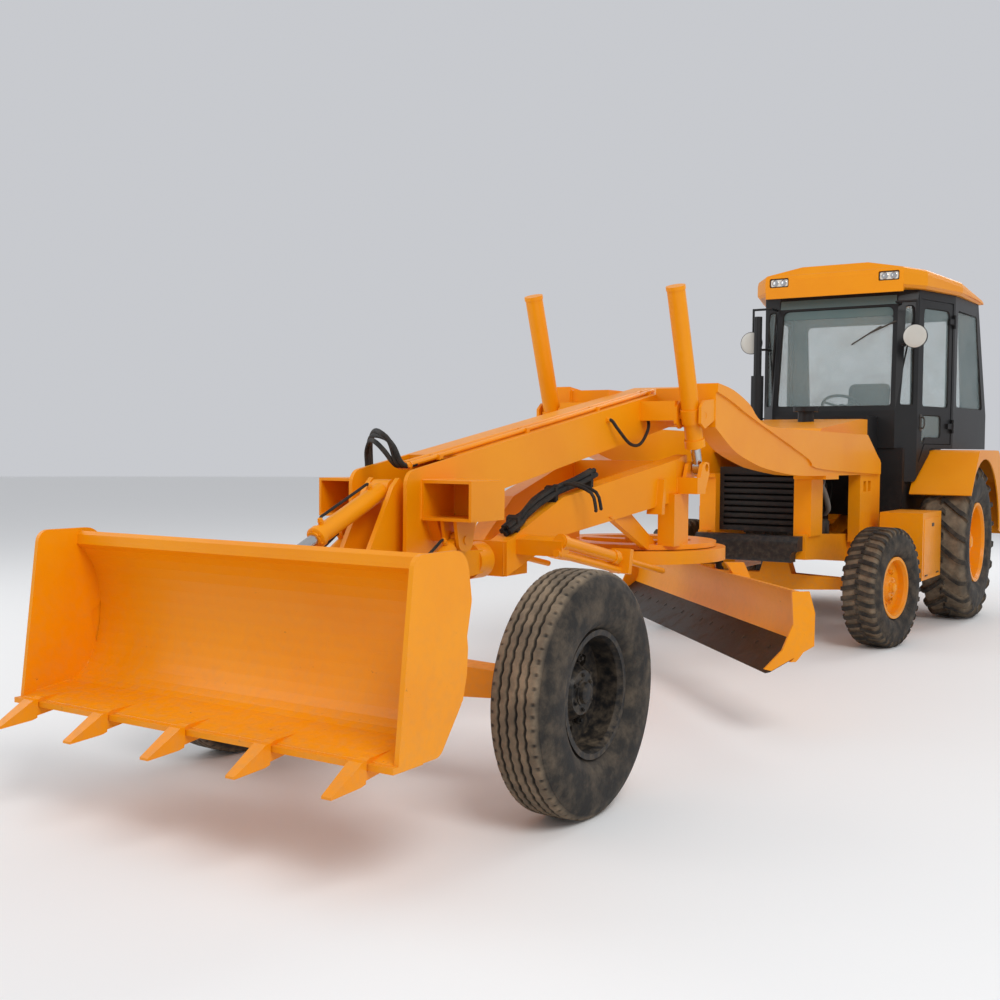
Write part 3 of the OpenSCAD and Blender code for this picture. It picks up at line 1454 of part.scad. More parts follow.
at_row() lift_barrels();
at_row() lift_rods();
at_row() loader_arms();
at_row() loader_barrels();
at_row() loader_rods();
at_row() bucket();
at_row() tilt_barrel();
at_row() tilt_rod();
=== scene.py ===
"""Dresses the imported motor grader: finishes for every CAD piece, and the tread, hoses, cab fittings and hardware.

Row frame: +X is the machine's left, -Y its front, +Z up, in metres. Sizes are written in the machine's own
frame, in millimetres from the front axle's middle on the ground, and ROW takes them to the row frame.
"""
import json
import logging
import math
from dataclasses import dataclass
from enum import Enum
from typing import Sequence

import bmesh
import bpy
import numpy as np
from mathutils import Matrix, Vector


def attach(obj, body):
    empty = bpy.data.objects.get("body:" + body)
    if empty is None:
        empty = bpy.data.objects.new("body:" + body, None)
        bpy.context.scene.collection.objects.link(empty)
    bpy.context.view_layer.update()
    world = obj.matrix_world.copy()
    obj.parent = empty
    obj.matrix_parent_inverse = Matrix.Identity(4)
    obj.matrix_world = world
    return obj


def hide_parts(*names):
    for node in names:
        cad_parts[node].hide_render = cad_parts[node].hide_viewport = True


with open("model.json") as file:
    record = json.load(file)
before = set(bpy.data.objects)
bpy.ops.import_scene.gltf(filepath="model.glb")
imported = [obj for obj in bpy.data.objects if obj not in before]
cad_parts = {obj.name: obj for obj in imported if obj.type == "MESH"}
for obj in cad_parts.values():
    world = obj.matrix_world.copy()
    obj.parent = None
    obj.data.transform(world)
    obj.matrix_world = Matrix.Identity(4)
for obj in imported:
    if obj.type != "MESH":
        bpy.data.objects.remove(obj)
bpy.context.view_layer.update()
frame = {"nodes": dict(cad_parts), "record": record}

LOG = logging.getLogger("grader")
MM = 0.001
Colour = tuple[float, float, float]
Array = np.ndarray


# ---- shader kit
class Sock:
    """A shader socket whose Python operators add Math nodes."""

    def __init__(self, shader: "Shader", socket: bpy.types.NodeSocket) -> None:
        """Keeps the shader that owns the socket, and the socket."""
        self.shader, self.socket = shader, socket

    def math(self, operation: str, *values: "Sock | float") -> "Sock":
        """The result of one Math node on the values."""
        return self.shader.out("ShaderNodeMath", {"operation": operation}, dict(enumerate(values)))

    def __add__(self, other: "Sock | float") -> "Sock":
        """self + other."""
        return self.math("ADD", self, other)

    def __sub__(self, other: "Sock | float") -> "Sock":
        """self - other."""
        return self.math("SUBTRACT", self, other)

    def __rsub__(self, other: float) -> "Sock":
        """other - self."""
        return self.math("SUBTRACT", other, self)

    def __mul__(self, other: "Sock | float") -> "Sock":
        """self * other."""
        return self.math("MULTIPLY", self, other)

    __radd__, __rmul__ = __add__, __mul__

    def sine(self) -> "Sock":
        """The sine of self, in radians."""
        return self.math("SINE", self)

    def ramp(self, low: float, high: float) -> "Sock":
        """0 where self is at low, 1 at high, smooth between, held outside."""
        return self.shader.out(
            "ShaderNodeMapRange", {"interpolation_type": "SMOOTHSTEP", "clamp": True},
            {"Value": self, "From Min": low, "From Max": high, "To Min": 0.0, "To Max": 1.0}, "Result",
        )


class Shader:
    """A material and the few ways in which its nodes are made."""

    def __init__(self, name: str) -> None:
        """Starts a material with one Principled BSDF.

        Args:
            name: the material's name.
        """
        self.material = bpy.data.materials.new(name)
        self.material.use_nodes = True
        self.tree = self.material.node_tree
        self.tree.nodes.clear()
        self.surface = self.node("ShaderNodeBsdfPrincipled", {}, {})
        out = self.node("ShaderNodeOutputMaterial", {}, {})
        self.tree.links.new(self.surface.outputs[0], out.inputs["Surface"])

    def node(self, kind: str, settings: dict, inputs: dict) -> bpy.types.Node:
        """Adds a node.

        Args:
            kind: the node's type.
            settings: its own settings, which are set first.
            inputs: values or links of its sockets, by name or number.

        Returns:
            The node.
        """
        node = self.tree.nodes.new(kind)
        for name, value in settings.items():
            setattr(node, name, value)
        for key, value in inputs.items():
            if isinstance(value, Sock):
                self.tree.links.new(value.socket, node.inputs[key])
            else:
                node.inputs[key].default_value = value
        return node

    def out(self, kind: str, settings: dict, inputs: dict, socket: "str | int" = 0) -> Sock:
        """Adds a node and returns one of its outputs."""
        return Sock(self, self.node(kind, settings, inputs).outputs[socket])

    def place(self) -> Sock:
        """Object coordinates, which are the row frame in metres."""
        return self.out("ShaderNodeTexCoord", {}, {}, "Object")

    def own(self, name: str) -> Sock:
        """A number that the piece carries on its points as an attribute."""
        return self.out("ShaderNodeAttribute", {"attribute_type": "GEOMETRY", "attribute_name": name}, {}, "Fac")

    def part(self, vector: Sock, axis: str) -> Sock:
        """One of a vector's X, Y or Z."""
        return self.out("ShaderNodeSeparateXYZ", {}, {"Vector": vector}, axis)

    def upward(self) -> Sock:
        """How far the surface faces up, from -1 to 1."""
        return self.part(self.out("ShaderNodeNewGeometry", {}, {}, "Normal"), "Z")

    def stretch(self, vector: Sock, by: Sequence[float]) -> Sock:
        """The vector, scaled by three numbers."""
        return self.out("ShaderNodeVectorMath", {"operation": "MULTIPLY"}, {0: vector, 1: tuple(by)})

    def noise(self, vector: Sock, scale: float, detail: float = 3.0, rough: float = 0.55) -> Sock:
        """Fractal noise from 0 to 1 at that many cells a metre."""
        return self.out("ShaderNodeTexNoise", {"noise_dimensions": "3D"},
                        {"Vector": vector, "Scale": scale, "Detail": detail, "Roughness": rough})

    def mix(self, factor: "Sock | float", low: "Sock | Colour", high: "Sock | Colour") -> Sock:
        """Mixes two colours: low at factor 0, high at factor 1."""
        low, high = (c if isinstance(c, Sock) else (*c, 1.0) for c in (low, high))
        return self.out("ShaderNodeMix", {"data_type": "RGBA", "clamp_factor": True}, {0: factor, 6: low, 7: high}, 2)

    def set(self, **values: "Sock | float | Colour") -> None:
        """Sets or links the BSDF's sockets.

        Args:
            values: a value or link for each socket; an underscore in a name stands for a space.
        """
        for name, value in values.items():
            socket = self.surface.inputs[name.replace("_", " ")]
            if isinstance(value, Sock):
                self.tree.links.new(value.socket, socket)
            else:
                socket.default_value = (*value, 1.0) if isinstance(value, tuple) else value

    def bump(self, *layers: tuple[Sock, float]) -> None:
        """Adds bump layers, one over the other.

        Args:
            layers: each a height from 0 to 1 and its depth in metres.
        """
        normal = {}
        for height, depth in layers:
            inputs = {"Strength": 1.0, "Distance": depth, "Height": height, **normal}
            normal = {"Normal": self.out("ShaderNodeBump", {}, inputs)}
        self.set(**normal)


def srgb(red: float, green: float, blue: float) -> Colour:
    """A display colour as linear light: c / 12.92 below 0.04045, else ((c + 0.055) / 1.055) ** 2.4."""
    return tuple(c / 12.92 if c <= 0.04045 else ((c + 0.055) / 1.055) ** 2.4 for c in (red, green, blue))


DUST = srgb(0.62, 0.54, 0.44)


# ---- finishes
@dataclass(frozen=True)
class Paint:
    """Sprayed machine paint: soft gloss, slight orange peel, dust that settles low down and on top, small chips."""

    name: str
    colour: Colour
    faded: Colour
    chip: Colour = srgb(0.30, 0.24, 0.19)
    gloss: float = 0.34
    dust: float = 0.5
    wear: float = 0.4

    def build(self) -> bpy.types.Material:
        """Builds the finish.

        Returns:
            The material.
        """
        s = Shader(self.name)
        place = s.place()
        fine = s.noise(place, 26.0, 5.0, 0.6)
        tone = s.mix(s.noise(place, 1.3, 4.0).ramp(0.35, 0.75), self.colour, self.faded)
        low = 1.0 - s.part(place, "Z").ramp(0.15, 1.5)
        settled = (s.upward().ramp(0.55, 1.0) * 0.35 + low * 0.65) * fine.ramp(0.35, 0.8) * self.dust
        chips = s.noise(s.stretch(place, (1.0, 1.0, 1.6)), 19.0, 6.0, 0.7).ramp(0.70 - 0.05 * self.wear, 0.74)
        chips = chips * low.ramp(0.1, 0.9) * self.wear
        s.set(
            Base_Color=s.mix(chips, s.mix(settled, tone, DUST), self.chip), Metallic=0.0,
            Roughness=settled * 0.4 + chips * 0.3 + (fine * 0.08 + self.gloss),
            Coat_Weight=0.08, Coat_Roughness=0.12, Specular_IOR_Level=0.25,
        )
        s.bump((s.noise(place, 240.0, 2.0), 0.0004), (1.0 - chips, 0.0006))
        return s.material


@dataclass(frozen=True)
class Metal:
    """Bare metal: polished rods, worn steel edges, plated fittings."""

    name: str
    colour: Colour
    stain: Colour
    rough: float
    stain_share: float
    grain: tuple[float, float, float] = (1.0, 1.0, 1.0)

    def build(self) -> bpy.types.Material:
        """Builds the finish.

        Returns:
            The material.
        """
        s = Shader(self.name)
        place = s.place()
        streak = s.noise(s.stretch(place, self.grain), 60.0, 4.0, 0.6)
        patch = s.noise(place, 9.0, 6.0, 0.65).ramp(0.62 - 0.3 * self.stain_share, 0.75)
        rust = patch * self.stain_share
        s.set(
            Base_Color=s.mix(rust, s.mix(streak, self.colour, tuple(c * 0.8 for c in self.colour)), self.stain),
            Metallic=1.0 - rust * 0.8, Roughness=streak * 0.12 + rust * 0.35 + self.rough,
        )
        s.bump((streak, 0.0003), (patch, 0.0005))
        return s.material


@dataclass(frozen=True)
class Rubber:
    """Tyre or hose rubber: dark and matt, with road dust where the piece carries a share for it; on the road tyre that
    share is painted light on the ribs' faces.
    """

    name: str
    colour: Colour
    dust: float = 0.25
    carries_dust_and_rib_light: bool = False

    def build(self) -> bpy.types.Material:
        """Builds the finish.

        Returns:
            The material.
        """
        s = Shader(self.name)
        place = s.place()
        cloud = s.noise(place, 11.0, 6.0, 0.65)
        fine = s.noise(place, 130.0, 3.0, 0.6)
        share = cloud.ramp(0.35, 0.85) * self.dust * 0.55
        if self.carries_dust_and_rib_light:
            # The piece's own share of the dust colour: road dust between a lug tyre's bars, painted light on the road
            # tyre's rib faces.
            share = share + s.own("dust") * (cloud + 0.2) * self.dust
        s.set(Base_Color=s.mix(share, self.colour, DUST), Metallic=0.0, Roughness=fine * 0.2 + 0.62,
              Specular_IOR_Level=0.35)
        s.bump((fine, 0.0006), (cloud, 0.001))
        return s.material


@dataclass(frozen=True)
class Pane:
    """Window glass with a little dust in clouds."""

    name: str
    tint: Colour = srgb(0.72, 0.80, 0.80)

    def build(self) -> bpy.types.Material:
        """Builds the finish.

        Returns:
            The material.
        """
        s = Shader(self.name)
        haze = s.noise(s.place(), 3.0, 4.0)
        s.set(Base_Color=s.mix(haze.ramp(0.4, 0.9) * 0.5, self.tint, DUST), Metallic=0.0,
              Roughness=haze * 0.08 + 0.02, Alpha=haze.ramp(0.3, 1.0) * 0.16 + 0.2, Specular_IOR_Level=0.8)
        return s.material


@dataclass(frozen=True)
class Plastic:
    """Moulded plastic with a fine grain; as it stands, a polished lens or mirror."""

    name: str
    colour: Colour
    rough: float = 0.12
    grain: float = 0.00005

    def build(self) -> bpy.types.Material:
        """Builds the finish.

        Returns:
            The material.
        """
        s = Shader(self.name)
        place = s.place()
        grain = s.noise(place, 420.0, 2.0)
        s.set(Base_Color=s.mix(s.noise(place, 4.0, 3.0) * 0.25, self.colour, DUST), Metallic=0.0,
              Roughness=grain * 0.1 + self.rough)
        s.bump((grain, self.grain))
        return s.material


@dataclass(frozen=True)
class Cloth:
    """Woven seat cloth, its threads drawn along the piece's own UV map."""

    name: str
    warp: Colour
    weft: Colour
    threads: float = 260.0

    def build(self) -> bpy.types.Material:
        """Builds the finish.

        Returns:
            The material.
        """
        s = Shader(self.name)
        uv = s.out("ShaderNodeTexCoord", {}, {}, "UV")
        across, along = ((s.part(uv, axis) * (self.threads * 2 * math.pi)).sine() for axis in "XY")
        weave = (across * along + 1.0) * 0.5
        s.set(Base_Color=s.mix(weave, self.warp, self.weft), Metallic=0.0, Roughness=0.85, Sheen_Weight=0.3,
              Sheen_Roughness=0.5)
        s.bump((weave, 0.0008))
        return s.material


YELLOW, YELLOW_FADED = srgb(0.955, 0.60, 0.0), srgb(0.93, 0.56, 0.0)


class Finish(Enum):
    """The finishes of the machine, each built once."""

    ORANGE = Paint("machine_orange", YELLOW, YELLOW_FADED, dust=0.3)
    BUCKET = Paint("bucket_paint", YELLOW, YELLOW_FADED, dust=0.25, wear=0.8)
    BLACK = Paint("machine_black", srgb(0.11, 0.11, 0.115), srgb(0.15, 0.15, 0.15), srgb(0.25, 0.21, 0.18),
                  0.38, 0.35, 0.2)
    BLACK_RIM = Paint("black_rim_paint", srgb(0.085, 0.085, 0.09), srgb(0.12, 0.115, 0.11), DUST, 0.45, 0.45, 0.2)
    ENGINE = Paint("engine_paint", srgb(0.13, 0.135, 0.13), srgb(0.19, 0.18, 0.16), srgb(0.3, 0.25, 0.2),
                   0.5, 0.6, 0.5)
    EDGE = Metal("cutting_edge_steel", srgb(0.30, 0.28, 0.26), srgb(0.30, 0.20, 0.13), 0.42, 0.55, (1.0, 1.0, 6.0))
    CHROME = Metal("polished_rod", srgb(0.80, 0.80, 0.80), srgb(0.5, 0.45, 0.4), 0.12, 0.08)
    TYRE = Rubber("tyre_rubber", srgb(0.13, 0.12, 0.11), 0.45)
    TREAD = Rubber("tread_rubber", srgb(0.13, 0.12, 0.11), 0.55, True)
    HOSE = Rubber("black_hose", srgb(0.10, 0.10, 0.10))
    PALE_HOSE = Rubber("pale_hose", srgb(0.52, 0.51, 0.48), 0.3)
    GLASS = Pane("clear_pane")
    TRIM = Plastic("black_trim", srgb(0.12, 0.12, 0.125), 0.5, 0.0004)
    LAMP = Plastic("lamp_lens", srgb(0.93, 0.92, 0.88))
    SUN_STRIP = Plastic("sun_strip", srgb(0.30, 0.42, 0.43), 0.25)
    RED_LENS = Plastic("red_lens", srgb(0.62, 0.03, 0.03))
    AMBER_LENS = Plastic("amber_lens", srgb(0.93, 0.42, 0.02))
    MIRROR = Plastic("mirror_face", srgb(0.80, 0.80, 0.77), 0.1)
    SEAT = Cloth("woven_cloth", srgb(0.14, 0.14, 0.15), srgb(0.22, 0.22, 0.23))

    def material(self) -> bpy.types.Material:
        """Returns the finish's material, which is built at the first call."""
        return bpy.data.materials.get(self.value.name) or self.value.build()


SLOT_FINISH: dict[str, Finish] = {
    "orange_paint": Finish.ORANGE, "black_paint": Finish.BLACK, "tyre": Finish.TYRE, "window_glass": Finish.GLASS,
    "engine_iron": Finish.ENGINE, "seat_cloth": Finish.TRIM, "lamp_plastic": Finish.LAMP,
    "edge_steel": Finish.EDGE, "rod_chrome": Finish.CHROME, "hose_rubber": Finish.HOSE,
}
NODE_FINISH: dict[str, Finish] = {
    "front_rim_l": Finish.BLACK_RIM, "front_rim_r": Finish.BLACK_RIM, "bucket": Finish.BUCKET,
    "moldboard": Finish.BUCKET,
}


def dress_nodes() -> None:
    """Gives each CAD node the finish of its material slot, or its own."""
    slots = {p["node"]: p["material_slot"] for p in frame["record"]["subparts"]}
    for name, piece in frame["nodes"].items():
        finish = NODE_FINISH.get(name, SLOT_FINISH[slots[name]])
        for slot in piece.material_slots:
            slot.material = finish.material()


# ---- mesh kit, in millimetres of the machine's frame
ROW = np.array([98.82, 3710.0, 0.0])
MERGE = 2e-6
Mesh = tuple[Array, list]
Points = Sequence[Sequence[float]]
Triple = tuple[float, float, float]
SIDES = (1.0, -1.0)
UP = (0.0, 0.0, 1.0)


def unit(vectors: Array) -> Array:
    """Vectors over their own lengths."""
    vectors = np.asarray(vectors, float)
    return vectors / np.linalg.norm(vectors, axis=-1, keepdims=True)


def facing(axis: Sequence[float]) -> Array:
    """A rotation that takes +Z to a direction.

    Args:
        axis: the direction, of any length.

    Returns:
        The matrix, whose columns are two directions across the axis, and the axis.
    """
    z = unit(axis)
    x = unit(np.cross([0.0, 1.0, 0.0] if abs(z[1]) < 0.9 else [1.0, 0.0, 0.0], z))
    return np.stack([x, np.cross(z, x), z], 1)


def turn_z(degrees: float) -> Array:
    """A rotation about +Z."""
    c, s = math.cos(math.radians(degrees)), math.sin(math.radians(degrees))
    return np.array([[c, -s, 0.0], [s, c, 0.0], [0.0, 0.0, 1.0]])


@dataclass(frozen=True)
class Place:
    """A working frame: a point p of it stands at turn p + shift in the machine's frame."""

    turn: Array
    shift: Triple
    mirrored: bool = False

    def put(self, points: Array) -> Array:
        """Takes points of this frame to the machine's frame, mirrored across its centre plane if asked."""
        moved = points @ self.turn.T + np.array(self.shift)
        return moved * [-1.0, 1.0, 1.0] if self.mirrored else moved

    def other(self) -> "Place":
        """The same frame on the machine's other side."""
        return Place(self.turn, self.shift, not self.mirrored)


HOME = Place(np.eye(3), (0.0, 0.0, 0.0))


def lofted(rings: Array, loop: bool = False) -> Mesh:
    """A skin over closed rings of points.

    Args:
        rings: the points, by ring, place in the ring and coordinate.
        loop: joins the last ring to the first; if not, both ends are capped.

    Returns:
        Its points and faces.
    """
    rows, cols = rings.shape[:2]
    i, j = np.arange(rows if loop else rows - 1)[:, None], np.arange(cols)
    i2, j2 = (i + 1) % rows, (j + 1) % cols
    quads = np.stack([i * cols + j, i * cols + j2, i2 * cols + j2, i2 * cols + j], -1)
    ends = [] if loop else [np.arange(cols).tolist(), (rows * cols - 1 - np.arange(cols)).tolist()]
    return rings.reshape(-1, 3), quads.reshape(-1, 4).tolist() + ends


def angles(steps: int) -> Array:
    """Even angles round a circle."""
    return np.linspace(0.0, 2 * math.pi, steps, endpoint=False)


def revolve(profile: Points, steps: int = 32, loop: bool = False) -> Mesh:
    """A turned shape about +Z: x = r cos a, y = r sin a, z = height.

    Args:
        profile: pairs of height and radius.
        steps: points round the axis.
        loop: joins the profile's end to its start.

    Returns:
        Its points and faces; where a radius is 0, the points meet in a pole.
    """
    z, r = np.asarray(profile, float).T[:, :, None]
    a = angles(steps)
    return lofted(np.stack([r * np.cos(a), r * np.sin(a), np.repeat(z, steps, 1)], -1), loop)


def spline(knots: Points, per_span: int = 6) -> Array:
    """A Catmull-Rom curve through knots.

    On a span with knots a, b, c, d and t from 0 to 1 the point is half of
    2b + (c - a) t + (2a - 5b + 4c - d) t^2 + (3b - a - 3c + d) t^3.

    Args:
        knots: the points that it goes through.
        per_span: points from one knot to the next.

    Returns:
        The curve's points, the last knot among them.
    """
    k = np.asarray(knots, float)
    k = np.concatenate([2 * k[:1] - k[1:2], k, 2 * k[-1:] - k[-2:-1]])
    a, b, c, d = k[:-3, None], k[1:-2, None], k[2:-1, None], k[3:, None]
    t = np.linspace(0.0, 1.0, per_span, endpoint=False)[None, :, None]
    curve = 0.5 * (2 * b + (c - a) * t + (2 * a - 5 * b + 4 * c - d) * t**2 + (3 * b - a - 3 * c + d) * t**3)
    return np.concatenate([curve.reshape(-1, k.shape[1]), k[-2:-1]])


def rounded(corners: Points, steps: int = 5) -> Array:
    """A polygon with round corners: an arc's centre stands r / sin(h) from its corner, for the half angle h.

    Args:
        corners: each corner's x, y and radius.
        steps: points on each arc.

    Returns:
        The outline's points.
    """
    c = np.asarray(corners, float)
    p, r = c[:, :2], c[:, 2:3]
    back, on = unit(np.roll(p, 1, 0) - p), unit(np.roll(p, -1, 0) - p)
    half = np.arccos(np.clip((back * on).sum(1, keepdims=True), -1, 1)) / 2
    centre = p + unit(back + on) * r / np.sin(half)
    start, end = p + back * r / np.tan(half) - centre, p + on * r / np.tan(half) - centre
    t = np.linspace(0.0, 1.0, steps)[None, :, None]
    arc = start[:, None] * (1 - t) + end[:, None] * t
    arc = arc / np.maximum(np.linalg.norm(arc, axis=-1, keepdims=True), 1e-9) * r[:, None]
    return (centre[:, None] + arc).reshape(-1, 2)


def box_outline(u0: float, u1: float, v0: float, v1: float, radius: float, steps: int = 4) -> Array:
    """A rectangle with round corners."""
    return rounded([[u0, v0, radius], [u1, v0, radius], [u1, v1, radius], [u0, v1, radius]], steps)


def tube(path: Points, radius: "float | Array", sides: int = 8, closed: bool = False) -> Mesh:
    """A circle carried along a path: p = path + r (s cos a + u sin a), s and u across the path's direction.

    Args:
        path: the middle line's points.
        radius: one radius, or one for each point of the path.
        sides: points round the circle.
        closed: joins the path's end to its start.

    Returns:
        Its points and faces.
    """
    path = np.asarray(path, float)
    t = unit(np.roll(path, -1, 0) - np.roll(path, 1, 0) if closed else np.gradient(path, axis=0))
    s = unit(np.cross(t, np.eye(3)[int(np.argmin(np.abs(t).max(0)))]))
    u = np.cross(t, s)
    a = angles(sides)[None, :, None]
    r = np.broadcast_to(radius, (len(path),))[:, None, None]
    return lofted(path[:, None] + r * (s[:, None] * np.cos(a) + u[:, None] * np.sin(a)), closed)


def bead(path: Points, radius: float, pitch: float) -> Mesh:
    """A weld bead: a tube whose radius swells by a fifth with the sine of the length along the path.

    Args:
        path: the seam's points.
        radius: its mean radius.
        pitch: the length from one swelling to the next.

    Returns:
        Its points and faces.
    """
    path = np.asarray(path, float)
    run = np.concatenate([[0.0], np.cumsum(np.linalg.norm(np.diff(path, axis=0), axis=1))])
    even = np.linspace(0.0, run[-1], max(8, int(run[-1] / (pitch / 3))))
    walk = np.stack([np.interp(even, run, path[:, k]) for k in range(3)], 1)
    return tube(walk, radius * (1.0 + 0.2 * np.sin(2 * math.pi * even / pitch)), 6)


def prism(outline: Array, low: float, high: float, across: str = "x") -> Mesh:
    """An outline carried straight along one axis.

    Args:
        outline: its points, as (y, z) along x or as (x, z) along y.
        low: where it starts.
        high: where it ends.
        across: the axis, x or y.

    Returns:
        Its points and faces.
    """
    level = np.array([low, high])[:, None] + np.zeros(len(outline))
    a, b = (np.tile(outline[:, k], (2, 1)) for k in (0, 1))
    return lofted(np.stack([level, a, b] if across == "x" else [a, level, b], -1))


def plate(x0: float, x1: float, y0: float, y1: float, z0: float, z1: float, radius: float = 3.0) -> Mesh:
    """A slab whose corners are round and whose ends draw in by the same radius.

    Args:
        x0, x1, y0, y1, z0, z1: where it starts and ends on each axis.
        radius: the radius.

    Returns:
        Its points and faces.
    """
    near = 0.3 * radius
    levels = ((z0, radius), (z0 + near, near), (z0 + radius, 0.0), (z1 - radius, 0.0), (z1 - near, near), (z1, radius))
    rings = [np.insert(box_outline(x0 + i, x1 - i, y0 + i, y1 - i, radius), 2, z, 1) for z, i in levels]
    return lofted(np.stack(rings))


def joined(*parts: Mesh) -> Mesh:
    """Several meshes as one.

    Args:
        parts: the meshes.

    Returns:
        Their points, and their faces renumbered.
    """
    starts = np.cumsum([0] + [len(p) for p, _ in parts])
    faces = [[int(k + start) for k in face] for start, (_, some) in zip(starts, parts) for face in some]
    return np.concatenate([p for p, _ in parts]), faces


def hex_bolt(across: float, height: float, stud: float = 0.35) -> Mesh:
    """A washer, a chamfered hexagon and the stud's end on +Z, each a turned profile of 12, 6 and 8 sides."""
    r = across / math.sqrt(3)
    return joined(
        revolve([[0, r * 1.25], [height * 0.16, r * 1.25], [height * 0.18, r * 0.9]], 12),
        revolve([[height * 0.16, r], [height * 0.85, r], [height, r * 0.86]], 6),
        revolve([[height * 0.9, r * 0.5], [height * (1 + stud), r * 0.5], [height * (1.08 + stud), r * 0.4]], 8),
    )


def ring_of(count: int, radius: float, height: float, start: float = 0.0) -> Array:
    """Spots on a circle about +Z: (r cos a, r sin a, height)."""
    a = angles(count) + math.radians(start)
    return np.stack([radius * np.cos(a), radius * np.sin(a), np.full(count, height)], 1)


class Piece:
    """A mesh in the making."""

    def __init__(self, name: str) -> None:
        """Starts an empty piece of that name."""
        self.name = name
        self.shapes: list[Mesh] = []

    def add(self, shape: Mesh, place: Place = HOME, both: bool = False) -> "Piece":
        """Adds a shape at a place, and on the machine's other side too if asked."""
        self.shapes += [(where.put(shape[0]), shape[1]) for where in ((place, place.other()) if both else (place,))]
        return self

    def pipe(self, knots: Points, radius: float, sides: int = 8, per_span: int = 6, place: Place = HOME,
             both: bool = False) -> "Piece":
        """Adds a tube along a smooth curve through knots."""
        return self.add(tube(spline(knots, per_span), radius, sides), place, both)

    def spread(self, shape: Mesh, spots: Points, axis: Sequence[float] = UP, place: Place = HOME,
               both: bool = False) -> "Piece":
        """Adds copies of a shape.

        Args:
            shape: the shape, standing on +Z.
            spots: where each copy stands.
            axis: the direction that they are turned to.
            place: the frame of the spots and the axis.
            both: adds them on the machine's other side too.

        Returns:
            This piece.
        """
        for spot in np.atleast_2d(np.asarray(spots, float)):
            self.add((shape[0] @ facing(axis).T + spot, shape[1]), place, both)
        return self

    def finish(self, body: str, finish: Finish, slot: str, replaces: Sequence[str] = (), sharp: float = 35.0,
               values: "Array | None" = None, uv: "Array | None" = None) -> bpy.types.Object:
        """Makes the object.

        Args:
            body: the CAD body that it rides on.
            finish: its finish.
            slot: the record's material slot; not used.
            replaces: CAD nodes that it stands for.
            sharp: edges above this angle, in degrees, stay sharp.
            values: one number a point, kept as the attribute "dust": road dust, and on the road tyre painted light on
                the ribs' faces.
            uv: one pair a point, kept as the UV map.

        Returns:
            The object.
        """
        points, faces = joined(*self.shapes)
        mesh = bpy.data.meshes.new(self.name)
        mesh.from_pydata(((points - ROW) * MM).tolist(), [], faces)
        if values is not None:
            mesh.attributes.new("dust", "FLOAT", "POINT").data.foreach_set("value", values.astype(np.float32))
        if uv is not None:
            loops = np.empty(len(mesh.loops), np.int32)
            mesh.loops.foreach_get("vertex_index", loops)
            mesh.uv_layers.new(name="UVMap").uv.foreach_set("vector", uv[loops].astype(np.float32).ravel())
        work = bmesh.new()
        work.from_mesh(mesh)
        bmesh.ops.remove_doubles(work, verts=work.verts, dist=MERGE)
        bmesh.ops.recalc_face_normals(work, faces=work.faces)
        work.to_mesh(mesh)
        work.free()
        mesh.shade_smooth()
        mesh.set_sharp_from_angle(angle=math.radians(sharp))
        mesh.materials.append(finish.material())
        thing = bpy.data.objects.new(self.name, mesh)
        bpy.context.scene.collection.objects.link(thing)
        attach(thing, body)
        if replaces:
            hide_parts(*replaces)
        LOG.info("%s: %d points on %s", self.name, len(mesh.vertices), body)
        return thing


# ---- wheels
@dataclass(frozen=True)
class Wheel:
    """One wheel's place: its hub's centre and how far its axle is steered to the right, in degrees."""

    kind: str
    side: str
    centre: Triple
    steer: float = 0.0

    @property
    def body(self) -> str:
        """The CAD body that turns with the wheel."""
        return f"{self.kind}_wheel_{self.side}"

    def place(self) -> Place:
        """The wheel's frame, whose +Z is the axle's direction away from the machine."""
        return Place(facing(turn_z(-self.steer)[:, 0] * (1.0 if self.side == "left" else -1.0)), self.centre)


@dataclass(frozen=True)
class TyreShape:
    """A tyre's section, from bead to bead, as the CAD's has it: shares of the wall's height and of the width."""

    radius: float
    width: float
    rim_radius: float
    rim_width: float
    tread: float = 0.0
    shares: tuple = ((0.12, 0.43), (0.3, 0.485), (0.5, 0.5), (0.68, 0.485), (0.84, 0.44), (0.93, 0.40),
                     (0.985, 0.36), (1.0, 0.30))

    def section(self, crown: Array) -> Array:
        """The section: a spline up one wall, the crown, and the other wall.

        Args:
            crown: offsets along the axle of the crown's points.

        Returns:
            Pairs of offset and radius.
        """
        low, top = self.rim_radius + 22, self.radius - self.tread
        bead_seat = [[self.rim_width / 2 - 22.3, self.rim_radius + 0.3], [self.rim_width / 2 - 14.3, low]]
        half = spline(bead_seat + [[self.width * b, low + (top - low) * a] for a, b in self.shares], 4)
        half[:, 1] = np.minimum(half[:, 1], top)
        return np.concatenate([half, np.insert(crown[:, None], 1, top, 1), half[::-1] * [-1, 1]])


